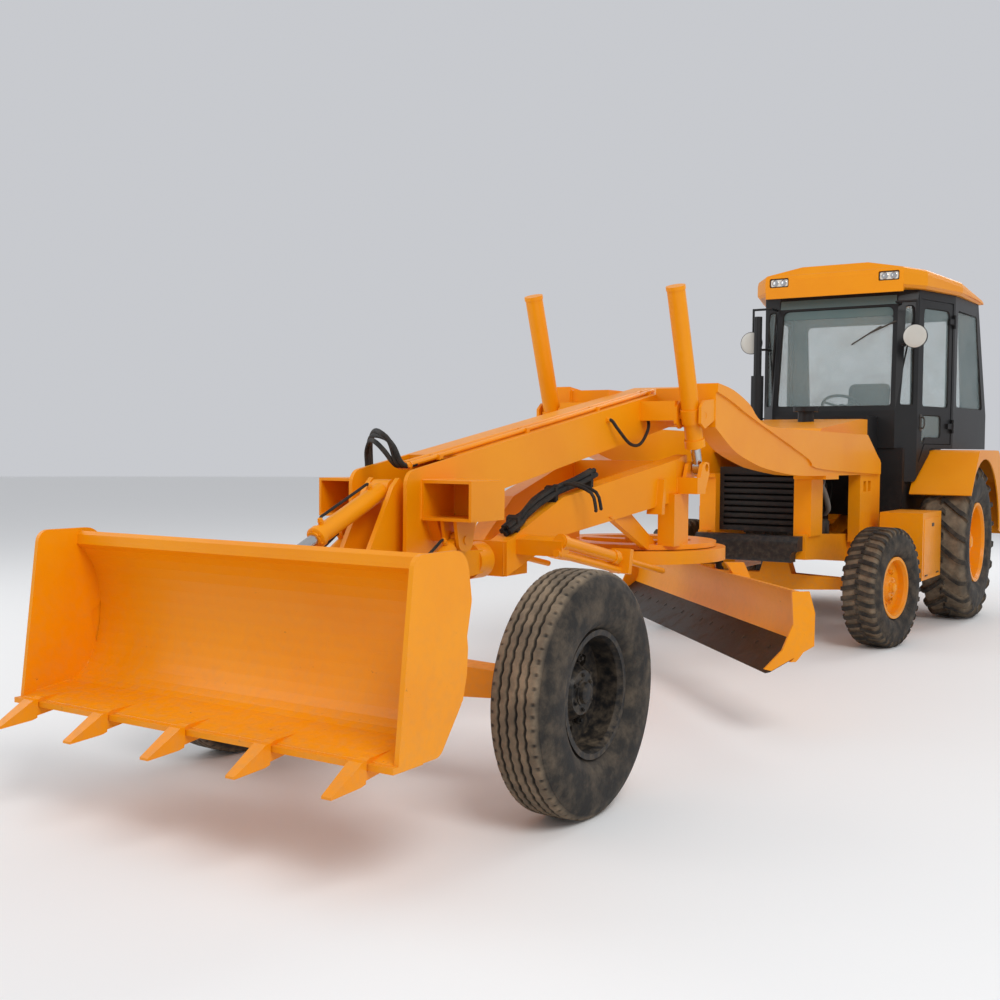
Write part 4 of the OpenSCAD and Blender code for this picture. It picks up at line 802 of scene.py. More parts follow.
@dataclass
class RoadTyre:
    """The front axle's road tyre: five ribs parted by four zigzag grooves, notched shoulders, ringed walls."""

    shape: TyreShape = TyreShape(527.5, 270.0, 254.0, 196.0)
    waves: int = 60
    sway: float = 3.2
    groove_depth: float = 11.0
    grooves: tuple[float, ...] = (60.0, 21.0, -21.0, -60.0)
    crown_edge: float = 71.0
    shoulder: float = 93.0
    notch_depth: float = 6.0
    wall_rings: tuple[float, ...] = (300.0, 330.0, 455.0, 470.0)
    crown_radius: float = 505.0

    def mesh(self) -> tuple[Mesh, Array]:
        """Models the tyre.

        The grid runs round (angle a) and along the section (s). Groove edges carry the offset sway tri(waves a), so the
        zigzag follows the grid; the groove's floor lies groove_depth lower, the shoulders are notched once a wave.

        Returns:
            The tyre, and for each point its share of the dust colour: painted light on the ribs' faces, none in the
            grooves and notches, which are left dark as painted shade.
        """
        crown = []
        for centre in self.grooves:
            crown += [(centre + 7.6, 0.0, 1.0), (centre + 5.2, 1.0, 1.0), (centre - 5.2, 1.0, 1.0),
                      (centre - 7.6, 0.0, 1.0)]
            last = centre == self.grooves[-1]
            crown += [(centre - 8.4, 0.0, 0.3)] if last else [(centre - 13.0, 0.0, 0.6), (centre - 28.0, 0.0, 0.0)]
        offset, drop, zig = np.array([(self.crown_edge, 0.0, 0.0)] + crown).T
        section = self.shape.section(offset)
        x, r = section.T
        n = len(section)
        ends = (n - len(offset)) // 2
        low, zig = (np.pad(v, (ends, n - ends - len(v)))[None] for v in (drop, zig))
        steps = self.waves * 8
        a = angles(steps)[:, None]
        beat = (a * self.waves / (2 * math.pi)) % 1.0
        along = x + (4 * np.abs(beat - 0.5) - 1.0) * zig * self.sway
        edge = np.exp(-((np.abs(x) - self.shoulder) / 9.0) ** 2) * (r > self.shape.radius - 24)
        notch = edge * np.where(beat < 0.25, 1.0, 0.0)
        rings = sum(np.exp(-((r - ring) / 4.0) ** 2) for ring in self.wall_rings)
        along = along + np.sign(x) * rings * 2.2
        fall = low * self.groove_depth + notch * self.notch_depth + 3.0 * (x / 100.0) ** 2 * (r > self.crown_radius)
        points = np.stack([(r - fall) * np.cos(a), (r - fall) * np.sin(a), along], -1)
        # Painted light: the ribs' faces take the dust colour, while the grooves and notches stay dark as painted shade.
        crown_share = np.clip((r - self.crown_radius) / 18.0, 0.0, 1.0)
        return lofted(points, True), ((1.0 - np.clip(low + notch, 0.0, 1.0)) * crown_share).ravel()


@dataclass
class LugTyre:
    """A driven tyre: bars that start past the middle on each side in turn and run out slantwise over the shoulder."""

    shape: TyreShape
    bars: int
    height: float
    bar: float
    skew: float
    overlap: float
    foot: float

    def mesh(self) -> tuple[Mesh, Array]:
        """Models the tyre.

        The grid's angle is a + tan(skew) |x| / r, so that a bar's edges follow the grid. A point stands on the section
        plus its outward normal times the height, where the angle lies in a bar of that side, fading down the wall.

        Returns:
            The tyre, and for each point how much dust lies there: in the low places between the bars.
        """
        shape, lap, foot, half = self.shape, self.overlap, self.foot, self.bar / 2
        edge = shape.width * 0.198
        section = shape.section(np.array([edge, lap + foot, lap, 0.0, -lap, -lap - foot, -edge]))
        x, r = section.T
        slope = np.gradient(section, axis=0)
        normal = unit(np.stack([-slope[:, 1], slope[:, 0]], 1))
        normal *= np.sign(normal[:, 1] + (np.abs(normal[:, 1]) < 0.2) * normal[:, 0] * np.sign(x))[:, None]
        fade = np.clip((r - (shape.radius - shape.tread - 2.6 * self.height)) / (1.4 * self.height), 0.0, 1.0)
        fade = fade * fade * (3 - 2 * fade)
        pitch = 2 * math.pi * shape.radius / self.bars
        gap = (pitch / 2 - self.bar - 2 * foot) / 3
        fill = half + foot + gap * np.array([1.0, 2.0]) if gap > 3.0 else np.array([])
        cell = np.concatenate([[-half - foot, -half, -half * 0.3, half * 0.3, half, half + foot], fill])
        lug = np.pad([1.0] * 4, (1, 1 + len(fill)))
        first = np.concatenate([lug, lug * 0])
        arc = (np.arange(2 * self.bars)[:, None] * pitch / 2 + cell).reshape(-1, 1) / shape.radius
        left, right = (np.tile(np.roll(first, k), self.bars)[:, None] for k in (0, len(lug)))
        share = np.maximum(left * (x >= -lap), right * (x <= lap))
        lift = share * fade * self.height
        angle = arc + math.tan(math.radians(self.skew)) * np.abs(x) / shape.radius
        radius = np.minimum(r + normal[:, 1] * lift, shape.radius)
        points = np.stack([radius * np.cos(angle), radius * np.sin(angle), x + normal[:, 0] * lift], -1)
        return lofted(points, True), ((1.0 - share) * fade).ravel()


@dataclass(frozen=True)
class Hub:
    """A wheel's middle: the disc's place on the axle, its eight nuts, the hub's face and radius, the valve's radius."""

    disc: float
    nut_circle: float
    nut_start: float
    nut: float
    face: float
    radius: float
    valve: float
    finish: Finish = Finish.ORANGE
    slot: str = "orange_paint"

    def build(self, wheel: Wheel) -> None:
        """Adds nuts between the rim's holes, a hub cap with its screws, the valve, and a black ring of painted shade
        behind the holes.

        Args:
            wheel: the wheel that they turn with.
        """
        place = wheel.place()
        disc, face, r, at = self.disc, self.face, self.radius, self.nut_circle
        # A black ring behind the rim's holes: painted shade, to be seen through them.
        shade = Piece(f"{wheel.kind}_shade_{wheel.side[0]}")
        back = [[disc - 26, at - 20], [disc - 22, at - 20], [disc - 22, at + 62], [disc - 26, at + 62]]
        shade.add(revolve(back, 48, True), place).finish(wheel.body, Finish.TRIM, "black_paint")
        piece = Piece(f"{wheel.kind}_hub_{wheel.side[0]}")
        piece.spread(hex_bolt(self.nut, self.nut * 0.8), ring_of(8, at, disc, self.nut_start), place=place)
        piece.spread(hex_bolt(15.0, 9.0), ring_of(6, r * 0.78, face), place=place)
        piece.add(revolve([[face - 1, r * 0.58], [face + 6, r * 0.58], [face + 8, r * 0.5], [face + 24, r * 0.46],
                           [face + 30, r * 0.36], [face + 32, 0.0]]), place)
        piece.pipe([[self.valve, 0, disc - 2], [self.valve, 0, disc + 20], [self.valve + 4, 0, disc + 34]], 4.0,
                   per_span=4, place=place)
        piece.finish(wheel.body, self.finish, self.slot)


@dataclass
class Wheels:
    """Tyres in place of the CAD's, with wheel nuts, hub caps, valves and black rings of painted shade behind the rims'
    holes.
    """

    steer: float = 9.0
    front: Triple = (999.0, 0.0, 527.5)
    mid_pin: float = 620.0
    mid: Triple = (888.5, 5355.0, 482.5)
    rear: Triple = (1005.0, 7530.0, 725.0)

    def all(self) -> list[Wheel]:
        """Places the wheels; a steered one stands on its axle's arm, which turns about the kingpin.

        Returns:
            The six wheels.
        """
        found = []
        pin = np.array([self.mid_pin, 0.0, 0.0])
        arm = pin + (self.mid[0] - self.mid_pin) * turn_z(-self.steer)[:, 0]
        for side, sign in (("left", 1.0), ("right", -1.0)):
            mirror = np.array([sign, 1.0, 1.0])
            mid = sign * arm + [0.0, *self.mid[1:]]
            found += [Wheel("front", side, tuple(mirror * self.front)), Wheel("mid", side, tuple(mid), self.steer),
                      Wheel("rear", side, tuple(mirror * self.rear))]
        return found

    def build(self) -> None:
        """Builds the six wheels' own detail."""
        kinds = {
            "front": (RoadTyre(), Hub(-36.0, 146.0, 22.5, 32.0, 30.0, 95.0, 222.0, Finish.BLACK_RIM, "black_paint")),
            "mid": (LugTyre(TyreShape(482.5, 305.0, 229.0, 236.0, 16.0), 36, 16.0, 34.0, 14.0, 10.0, 2.6),
                    Hub(37.0, 131.0, 22.5, 27.0, 85.0, 80.0, 200.0)),
            "rear": (LugTyre(TyreShape(725.0, 430.0, 356.0, 366.0, 34.0), 20, 34.0, 46.0, 42.0, 22.0, 5.0),
                     Hub(42.0, 190.0, 0.0, 34.0, 110.0, 120.0, 300.0)),
        }
        for wheel in self.all():
            tyre, hub = kinds[wheel.kind]
            # Each point's share of the dust colour: on the road tyre, painted light on the ribs' faces with painted
            # shade left in the grooves.
            mesh, dust = tyre.mesh()
            node = f"{wheel.kind}_tyre_{wheel.side[0]}"
            piece = Piece("tread_" + node).add(mesh, wheel.place())
            piece.finish(wheel.body, Finish.TREAD, "tyre", (node,), 28.0, dust)
            hub.build(wheel)


# ---- reading the CAD pieces
@dataclass(frozen=True)
class Face:
    """A flat face of a CAD piece: its outline in millimetres of the machine's frame, and its outward direction."""

    outline: Array
    normal: Array

    @property
    def middle(self) -> Array:
        """The outline's mean point."""
        return self.outline.mean(0)

    def row(self, count: int, margin: float, share: float) -> Array:
        """Spots in a straight row along the face's long side.

        Args:
            count: how many.
            margin: the end spots' distance from the ends, in millimetres.
            share: the row's place across the face, from 0 to 1.

        Returns:
            The spots, on the face.
        """
        flat = self.outline - self.middle
        along = np.linalg.svd(flat, full_matrices=False)[2][0]
        across = np.cross(self.normal, along)
        across = across * np.sign(across[2] if abs(across[2]) > 0.1 else across[1])
        a, b = flat @ along, flat @ across
        run = np.linspace(a.min() + margin, a.max() - margin, count)[:, None]
        return self.middle + run * along + (b.min() + share * (b.max() - b.min())) * across


class Cad:
    """What the scene asks of the CAD pieces' meshes."""

    @staticmethod
    def points(node: str) -> Array:
        """Reads a node's vertices.

        Args:
            node: the node's name.

        Returns:
            Where they are, in millimetres of the machine's frame.
        """
        mesh = frame["nodes"][node].data
        co = np.empty(len(mesh.vertices) * 3, np.float32)
        mesh.vertices.foreach_get("co", co)
        return co.reshape(-1, 3).astype(float) / MM + ROW

    @staticmethod
    def ends(verts: Sequence[bmesh.types.BMVert]) -> Array:
        """Where a face's or an edge's vertices are, in millimetres of the machine's frame."""
        return np.array([v.co[:] for v in verts]) / MM + ROW

    @staticmethod
    def solid(node: str) -> bmesh.types.BMesh:
        """Copies a node's mesh.

        Args:
            node: the node's name.

        Returns:
            The copy, merged and with its flat faces whole.
        """
        work = bmesh.new()
        work.from_mesh(frame["nodes"][node].data)
        bmesh.ops.remove_doubles(work, verts=work.verts, dist=10 * MERGE)
        bmesh.ops.dissolve_limit(work, angle_limit=math.radians(0.6), verts=work.verts, edges=work.edges)
        return work

    @classmethod
    def faces(cls, node: str, smallest: float) -> list[Face]:
        """Finds a node's flat faces.

        Args:
            node: the node's name.
            smallest: the least area, in square metres.

        Returns:
            The faces, largest first.
        """
        work = cls.solid(node)
        big = sorted((f for f in work.faces if f.calc_area() > smallest), key=lambda f: -f.calc_area())
        found = [Face(cls.ends(f.verts), np.array(f.normal[:])) for f in big]
        work.free()
        return found

    @classmethod
    def face(cls, node: str, toward: Sequence[float], smallest: float, side: float) -> Face:
        """The largest face that looks within 35 degrees of a direction, on one side of the machine."""
        fit = (f for f in cls.faces(node, smallest) if f.normal @ toward > 0.82 and f.middle[0] * side >= 0)
        return next(fit)

    @classmethod
    def inner_edges(cls, node: str, shortest: float) -> list[Array]:
        """Finds the straight edges in a node's inside corners.

        Args:
            node: the node's name.
            shortest: the least length, in millimetres.

        Returns:
            The two ends of each.
        """
        work = cls.solid(node)
        found = [
            cls.ends(e.verts) for e in work.edges
            if len(e.link_faces) == 2 and e.calc_length() / MM > shortest
            and e.calc_face_angle_signed(0.0) < math.radians(-35)
        ]
        work.free()
        return found


# ---- frame, blade and loader
@dataclass
class Welds:
    """Weld beads in the inside corners of the plate work."""

    radius: float = 4.2
    pitch: float = 15.0
    shortest: float = 90.0
    inset: float = 6.0
    most: int = 90
    frame_nodes: tuple[str, ...] = ("main_beam", "beam_head", "gooseneck", "chassis", "rear_frame", "side_boxes",
                                    "fenders", "front_axle")
    nodes: tuple = (("drawbar", "drawbar"), ("circle", "circle"), ("moldboard", "circle"),
                    ("loader_arms", "loader_arms"), ("bucket", "bucket"))

    def build(self) -> None:
        """Lays a bead in each long inside corner."""
        for node, body in (*((node, "frame") for node in self.frame_nodes), *self.nodes):
            piece = Piece("welds_" + node)
            for a, b in Cad.inner_edges(node, self.shortest)[:self.most]:
                inset = unit(b - a) * self.inset
                piece.add(bead(np.stack([a + inset, b - inset]), self.radius, self.pitch))
            if piece.shapes:
                piece.finish(body, Finish.ORANGE, "orange_paint", sharp=60.0)


@dataclass(frozen=True)
class Ram:
    """Cylinders side by side: their sides, root and rod eye in the side view, and their radii."""

    name: str
    body: str
    xs: tuple[float, ...]
    root: tuple[float, float]
    eye: tuple[float, float]
    r: float = 42.0
    rod: float = 25.0

    def build(self) -> None:
        """Adds a gland nut, two hose ports and the line between them to each barrel."""
        piece, line = Piece(self.name + "_fittings"), Piece(self.name + "_lines")
        r, rod = self.r, self.rod
        way = unit([0.0, self.eye[0] - self.root[0], self.eye[1] - self.root[1]])
        up = np.cross([1.0, 0.0, 0.0], way)
        up = up * np.sign(up[2])
        points = Cad.points(self.name)
        for x in self.xs:
            root = np.array([x, *self.root])
            near = points[np.hypot(points[:, 0] - x, (points - root) @ up) < r * 1.3]
            end = float(((near - root) @ way).max())
            place = Place(facing(way), tuple(root))
            piece.add(revolve([[end - 30, r + 1], [end - 28, r + 7], [end - 4, r + 7], [end, r + 3],
                               [end + 4, rod + 9], [end + 10, rod + 8], [end + 12, rod + 1.5]], 40), place)
            piece.spread(hex_bolt(11, 6), ring_of(6, (r + rod) / 2 + 4, end), place=place)
            spots = root + np.outer([95, end - 60], way) + up * (r - 2)
            piece.spread(revolve([[0, 13], [12, 13], [13, 11], [15, 11]], 12), spots, up)
            piece.spread(hex_bolt(20, 16, 0.0), spots + up * 13, up)
            a, b = spots + up * 30
            line.pipe([a - up * 12, a + way * 14, a + way * 60, b - way * 60, b - way * 14, b - up * 12], 7.0)
        piece.finish(self.body, Finish.ORANGE, "orange_paint")
        line.finish(self.body, Finish.HOSE, "hose_rubber")


@dataclass
class WorkingGear:
    """Hardware of the head, the loader, the blade and its lift."""

    rams: tuple[Ram, ...] = (
        Ram("loader_barrels", "loader_barrels", (310.0, -310.0), (100.0, 1140.0), (-430.0, 830.0)),
        Ram("tilt_barrel", "tilt_barrel", (0.0,), (-60.0, 1375.0), (-730.0, 1085.0)),
        Ram("lift_barrels", "lift_barrels", (490.0, -490.0), (2350.0, 1780.0), (2461.0, 1460.0), 55.0, 30.0),
    )
    pins: tuple = (("frame", "beam_head", ((20.0, 930.0),)),
                   ("loader_arms", "loader_arms", ((20.0, 930.0), (-800.0, 620.0))))
    pipe_top: float = 1481.0

    def bucket(self) -> None:
        """End plates that close the bucket's wrap behind its side plates."""
        ends = rounded([[-935, 905, 4], [-862, 905, 8], [-851, 830, 30], [-858, 735, 30], [-884, 640, 8],
                        [-935, 640, 4]])
        Piece("bucket_ends").add(prism(ends, 1004.0, 1014.0), both=True).finish("bucket", Finish.BUCKET, "orange_paint")

    def caps(self) -> None:
        """Keeper plates with two bolts on the ends of the pivot pins, as far out as the CAD's bosses reach."""
        keeper = revolve([[0, 38], [5, 38], [7, 36], [7, 14], [9, 12], [9, 0]])
        for body, node, spots in self.pins:
            piece = Piece("pin_caps_" + body)
            points = Cad.points(node)
            for y, z in spots:
                near = points[np.hypot(points[:, 1] - y, points[:, 2] - z) < 75]
                place = Place(facing([1, 0, 0]), (float(np.abs(near[:, 0]).max()), y, z))
                piece.add(keeper, place, True).spread(hex_bolt(17, 10), ring_of(2, 26, 6), place=place, both=True)
            piece.finish(body, Finish.ORANGE, "orange_paint")

    def bolts(self) -> None:
        """A row of plough bolts on the cutting edge."""
        face = Cad.faces("cutting_edge", 0.05)[0]
        heads = revolve([[0, 15], [2.5, 14], [3.5, 10], [3.6, 0]], 16)
        Piece("edge_bolts").spread(heads, face.row(17, 75.0, 0.62), face.normal).finish(
            "circle", Finish.EDGE, "edge_steel")

    def hoses(self) -> None:
        """Three hoses from the beam's pipes over to ports on the right ear, and one that hangs on the beam's side."""
        hose, port = Piece("head_hoses"), Piece("head_ports")
        top = self.pipe_top
        for k, x in enumerate((60.0, 110.0, 85.0)):
            y1, x1, arch = 70.0 + 70.0 * k, -205.0 - 45.0 * k, top + 24.0 * k
            hose.pipe([[x, 40, top + 10], [x, -34, top], [x - 6, -74, top + 24], [x - 30, -92, arch + 64],
                       [x - 90, -78, arch + 104], [x1 + 70, y1 - 62, arch + 116], [x1 + 8, y1 - 14, arch + 66],
                       [x1, y1, top - 6], [x1, y1, 1425]], 12.0, 12, 8)
            port.spread(hex_bolt(30, 24, 0.0), [x1, y1, 1415.0])
            port.spread(hex_bolt(28, 22, 0.0), [x, -12.0, top + 2], [0, -1, 0])
        hose.pipe([[168, 1850, 1742], [198, 1856, 1738], [216, 1900, 1690], [228, 2040, 1604], [228, 2180, 1604],
                   [216, 2310, 1690], [198, 2350, 1752], [168, 2354, 1758]], 10.0, 12, 8)
        port.spread(hex_bolt(27, 20, 0.0), [[169.0, 1850, 1742], [169.0, 2354, 1758]], [1, 0, 0])
        hose.finish("frame", Finish.HOSE, "hose_rubber", sharp=60.0)
        port.finish("frame", Finish.ORANGE, "orange_paint")

    def build(self) -> None:
        """Builds the whole of the gear's hardware."""
        self.bucket()
        for ram in self.rams:
            ram.build()
        self.caps()
        self.bolts()
        self.hoses()


# ---- engine bay
@dataclass
class EngineBay:
    """Grille screen, filters and lines on the engine, latches and handles on the bonnet."""

    grille_x: float = 308.0
    grille_y: float = 4882.0
    grille_z: tuple[float, float] = (925.0, 1435.0)
    wires: int = 29
    skin: float = 296.0
    bonnet_x: float = 443.0

    def screen(self) -> None:
        """Upright wires behind the grille's slats."""
        low, high = self.grille_z
        spots = [[x, self.grille_y, low] for x in np.linspace(-self.grille_x, self.grille_x, self.wires)]
        wire = tube([[0, 0, 0], [0, 0, high - low]], 2.6, 6)
        Piece("grille_screen").spread(wire, spots).finish("frame", Finish.BLACK, "black_paint")

    def engine(self) -> None:
        """Filters, a rocker cover, pulleys, lines and coolant hoses."""
        iron, light, x = Piece("engine_parts"), Piece("engine_hoses"), self.skin
        can = revolve([[0, 30], [4, 44], [10, 46], [118, 46], [124, 42], [128, 36], [136, 36], [138, 30], [138, 0]], 28)
        iron.spread(can, [[312.0, 5480.0, 860.0], [312.0, 5600.0, 860.0]], both=True)
        iron.add(plate(-150, 150, 5250, 6000, 1378, 1440, 18.0))
        iron.spread(hex_bolt(17, 12), [[0.0, y, 1438.0] for y in np.linspace(5310, 5940, 6)])
        pulley = revolve([[0, 60], [4, 92], [9, 92], [13, 78], [19, 92], [24, 92], [28, 78], [34, 92], [39, 92],
                          [42, 40], [60, 40], [62, 0]], 40)
        iron.spread(pulley, [[0.0, 4984.0, 900.0], [150.0, 4984.0, 1160.0]], [0, -1, 0])
        light.pipe([[x, 5060, 1240], [348, 5120, 1290], [362, 5240, 1310], [360, 5420, 1250], [346, 5600, 1100],
                    [x, 5680, 1040]], 24.0, 14, 8, both=True)
        light.pipe([[x, 5160, 960], [352, 5200, 1000], [356, 5330, 1160], [352, 5460, 1330], [x, 5540, 1350]],
                   11.0, 10, 8, both=True)
        for y in (5300.0, 5470.0, 5640.0, 5810.0):
            iron.pipe([[x, y, 1150], [306, y, 1200], [306, y + 20, 1260], [x, y + 26, 1320]], 5.0, both=True)
        iron.finish("frame", Finish.ENGINE, "engine_iron")
        light.finish("frame", Finish.PALE_HOSE, "hose_rubber", sharp=60.0)

    def bonnet(self) -> None:
        """Two rubber latches and a grab handle on each side of the bonnet."""
        piece, x = Piece("bonnet_latches"), self.bonnet_x
        for y in (5250.0, 6150.0):
            piece.pipe([[x, y, 1560], [x + 9, y, 1572], [x + 11, y, 1630], [x, y, 1645]], 7.0, 10, 5, both=True)
        piece.pipe([[x - 2, 5600, 1700], [x + 28, 5604, 1700], [x + 30, 5700, 1700], [x + 28, 5796, 1700],
                    [x - 2, 5800, 1700]], 6.5, 10, both=True)
        piece.finish("bonnet", Finish.TRIM, "black_paint", sharp=60.0)

    def build(self) -> None:
        """Builds the whole bay."""
        self.screen()
        self.engine()
        self.bonnet()


# ---- cab
def signed_power(t: Array, e: float) -> Array:
    """sign(t) |t|^e."""
    return np.sign(t) * np.abs(t) ** e


@dataclass
class Cab:
    """Seat, seals, sun strip, wiper, handles, lamps, mirror faces and the side boxes' doors."""

    centre: Triple = (0.0, 7700.0, 2300.0)
    seat_y: tuple[float, float] = (7480.0, 7960.0)
    seat_rake: tuple[float, float] = (110.0, 610.0)
    top_edge: tuple[float, float] = (6905.0, 3080.0)
    lamp: Triple = (520.0, 6737.0, 3194.0)
    mirror: Triple = (775.0, 6685.0, 2625.0)
    filler: Triple = (-840.0, 6180.0, 1049.0)

    def pad(self, name: str, half: Sequence[float], crown: float, bolster: float, place: Place) -> None:
        """Makes a stuffed cushion with its piping.

        In the angles a round and b up, with c(t, e) = sign(t) |t|^e, the surface is x = X c(cos b, .35) c(cos a, .3),
        y = Y c(cos b, .35) c(sin a, .3), z = Z c(sin b, .8); the top rises by crown (1 - x^2) (1 - y^2) and by bolster
        at the sides, and nine shallow pipes run along y.

        Args:
            name: the piece's name.
            half: its half sizes X, Y and Z.
            crown: how far the top's middle rises.
            bolster: how far the top's sides rise.
            place: where it stands.
        """
        b, a = np.linspace(-math.pi / 2, math.pi / 2, 41)[:, None], angles(128)
        x, y = (signed_power(np.cos(b), 0.35) * signed_power(f(a), 0.3) for f in (np.cos, np.sin))
        z = signed_power(np.sin(b), 0.8) + 0 * a
        pipes = 3.0 - 3.0 * np.abs(np.sin(x * 4.5 * math.pi)) ** 0.5
        rise = crown * (1 - x**2) * (1 - y**2) + bolster * np.clip((np.abs(x) - 0.72) / 0.2, 0, 1) - pipes
        z = z * half[2] + np.clip(z, 0, 1) * rise
        edge = box_outline(-half[0], half[0], -half[1], half[1], 60, 8) * 0.985
        points, faces = lofted(np.stack([x * half[0], y * half[1], z], -1))
        poles = 2  # The last two faces cap rings whose points are one.
        mesh = joined((points, faces[:-poles]), tube(np.insert(edge, 2, 0.0, 1), 5.0, 8, True))
        thing = Piece(name).add(mesh, place).finish("frame", Finish.SEAT, "seat_cloth", ("seat",), 60.0,
                                                    uv=mesh[0][:, :2] * MM)

    def seat(self) -> None:
        """Cushion and back of cloth, with a sprung base in folds."""
        y0, y1 = self.seat_y
        self.pad("seat_cushion", (222, (y1 - y0) / 2 - 12, 46), 10.0, 8.0, Place(np.eye(3), (0, (y0 + y1) / 2, 1618)))
        lean = math.atan2(*self.seat_rake)
        c, s = math.cos(lean), math.sin(lean)
        turn = np.array([[1, 0, 0], [0, s, -c], [0, c, s]], float)
        self.pad("seat_back", (212, 296, 44), 8.0, 14.0, Place(turn, (0, 8010, 1992)))
        base = Piece("seat_base")
        for k in range(9):
            i, z = 14.0 * (k % 2), 1080.0 + 50 * k
            base.add(plate(-176 + i, 176 - i, 7564 + i, 7896 - i, z, z + 52, 12.0))
        base.add(plate(-180, 180, 7560, 7900, 1040, 1082, 8.0))
        base.add(plate(-190, 190, 7520, 7930, 1528, 1572, 10.0))
        base.finish("frame", Finish.TRIM, "seat_cloth", ("seat",))

    def seals(self) -> None:
        """A rubber seal round the outside of each pane, along the outline that the pane's own face has."""
        for node, body in (("cab_glass", "frame"), ("door_glass_l", "door_left"), ("door_glass_r", "door_right")):
            piece = Piece("seal_" + node)
            for face in Cad.faces(node, 0.02):
                if face.normal @ (face.middle - self.centre) > 0:
                    piece.add(tube(face.outline + face.normal, 8.0, 8, True))
            piece.finish(body, Finish.HOSE, "hose_rubber", sharp=60.0)

    def windscreen(self) -> None:
        """A sun strip along the glass's top, the band above it, and a wiper on the left pillar."""
        face = min((f for f in Cad.faces("cab_glass", 0.3) if f.normal[1] < -0.8), key=lambda f: f.middle[1])
        slope, start = np.polyfit(face.outline[:, 2], face.outline[:, 1], 1)
        strip = prism(rounded([[-529, 2848, 3], [529, 2848, 3], [527, 2933, 55], [-527, 2933, 55]]), -3.5, -1.0, "y")
        band = prism(rounded([[-556, 2952, 3], [556, 2952, 3], [552, 3034, 3], [-552, 3034, 3]]), -2.5, 1.0, "y")
        top = self.top_edge[0] - slope * self.top_edge[1]
        for name, (points, faces), at in (("sun_strip", strip, start), ("header_band", band, top)):
            points = points + np.outer(at + slope * points[:, 2], [0, 1, 0])
            Piece(name).add((points, faces)).finish("frame", Finish.SUN_STRIP, "window_glass")

        def on(*spots: Sequence[float]) -> Array:
            """Takes (x, z, lift) to points that far ahead of the glass."""
            x, z, lift = np.array(spots, float).T
            return np.stack([x, start + slope * z - lift, z], 1)

        wiper = Piece("wiper").pipe(on((556, 2790, 6), (540, 2782, 26), (430, 2735, 24), (318, 2690, 14)), 8.0, 8, 5)
        wiper.add(tube(on((420, 2752, 8), (318, 2690, 10), (150, 2588, 8)), 6.5, 6))
        wiper.add(tube(on((420, 2752, 3), (318, 2690, 3), (150, 2588, 3)), 4.0, 6))
        wiper.spread(revolve([[0, 20], [14, 20], [20, 14], [22, 0]], 20), on((556, 2790, 0)), face.normal)
        wiper.finish("frame", Finish.TRIM, "black_paint")

    def doors(self) -> None:
        """A bent handle and a lock plate on each door."""
        along = unit([190.0, 620.0, 0.0])
        out = [along[1], -along[0], 0.0]
        place = Place(np.stack([out, along, UP], 1), (740.0, 6980.0, 0.0))
        for side, where in (("left", place), ("right", place.other())):
            piece = Piece("handle_" + side).add(plate(-7, 1, 48, 82, 1770, 1930), where)
            piece.pipe([[0, 65, 1800], [30, 65, 1806], [36, 65, 1850], [30, 65, 1894], [0, 65, 1900]], 7.0, 10,
                       place=where)
            piece.finish("door_" + side, Finish.TRIM, "black_paint")

    def lamps(self) -> None:
        """A dark rim and two round reflectors on each roof lamp, and a pale face on each mirror."""
        x, y, z = self.lamp
        edge = np.insert(box_outline(x - 87, x + 87, z - 36, z + 36, 16, 6), 1, y, 1)
        bowl = revolve([[0, 31], [3, 31], [4, 29], [1.5, 26], [1.2, 14], [2.8, 9], [3.4, 0]])
        dome = revolve([[0, 103], [3, 103], [5, 99], [8, 70], [9.5, 35], [10, 0]], 40)
        Piece("lamp_rims").add(tube(edge, 5.0, 8, True), both=True).finish("frame", Finish.TRIM, "black_paint")
        Piece("lamp_rings").spread(bowl, [[x - 40, y, z], [x + 40, y, z]], [0, -1, 0], both=True).finish(
            "frame", Finish.CHROME, "lamp_plastic")
        Piece("mirror_faces").spread(dome, self.mirror, [0, -1, 0], both=True).finish(
            "frame", Finish.MIRROR, "lamp_plastic")

    def tail_lamps(self) -> None:
        """A black base with a red and an amber lens on the rear face of each fender."""
        base, red, amber = Piece("tail_bases"), Piece("tail_red"), Piece("tail_amber")
        lens = revolve([[10, 30], [16, 30], [20, 27], [23, 16], [24, 0]])
        turn = np.array([[-1.0, 0, 0], [0, 0, 1.0], [0, 1.0, 0]])
        for side in SIDES:
            face = Cad.face("fenders", (0, 1, 0), 0.02, side)
            x, y, z = face.middle[0], face.outline[:, 1].max(), face.middle[2] + 90
            base.add(plate(-82, 82, -42, 42, -6, 12, 5.0), Place(turn, (x, y, z)))
            red.add(lens, Place(turn, (x + side * 40, y, z)))
            amber.add(lens, Place(turn, (x - side * 40, y, z)))
        base.finish("frame", Finish.TRIM, "black_paint")
        red.finish("frame", Finish.RED_LENS, "lamp_plastic")
        amber.finish("frame", Finish.AMBER_LENS, "lamp_plastic")

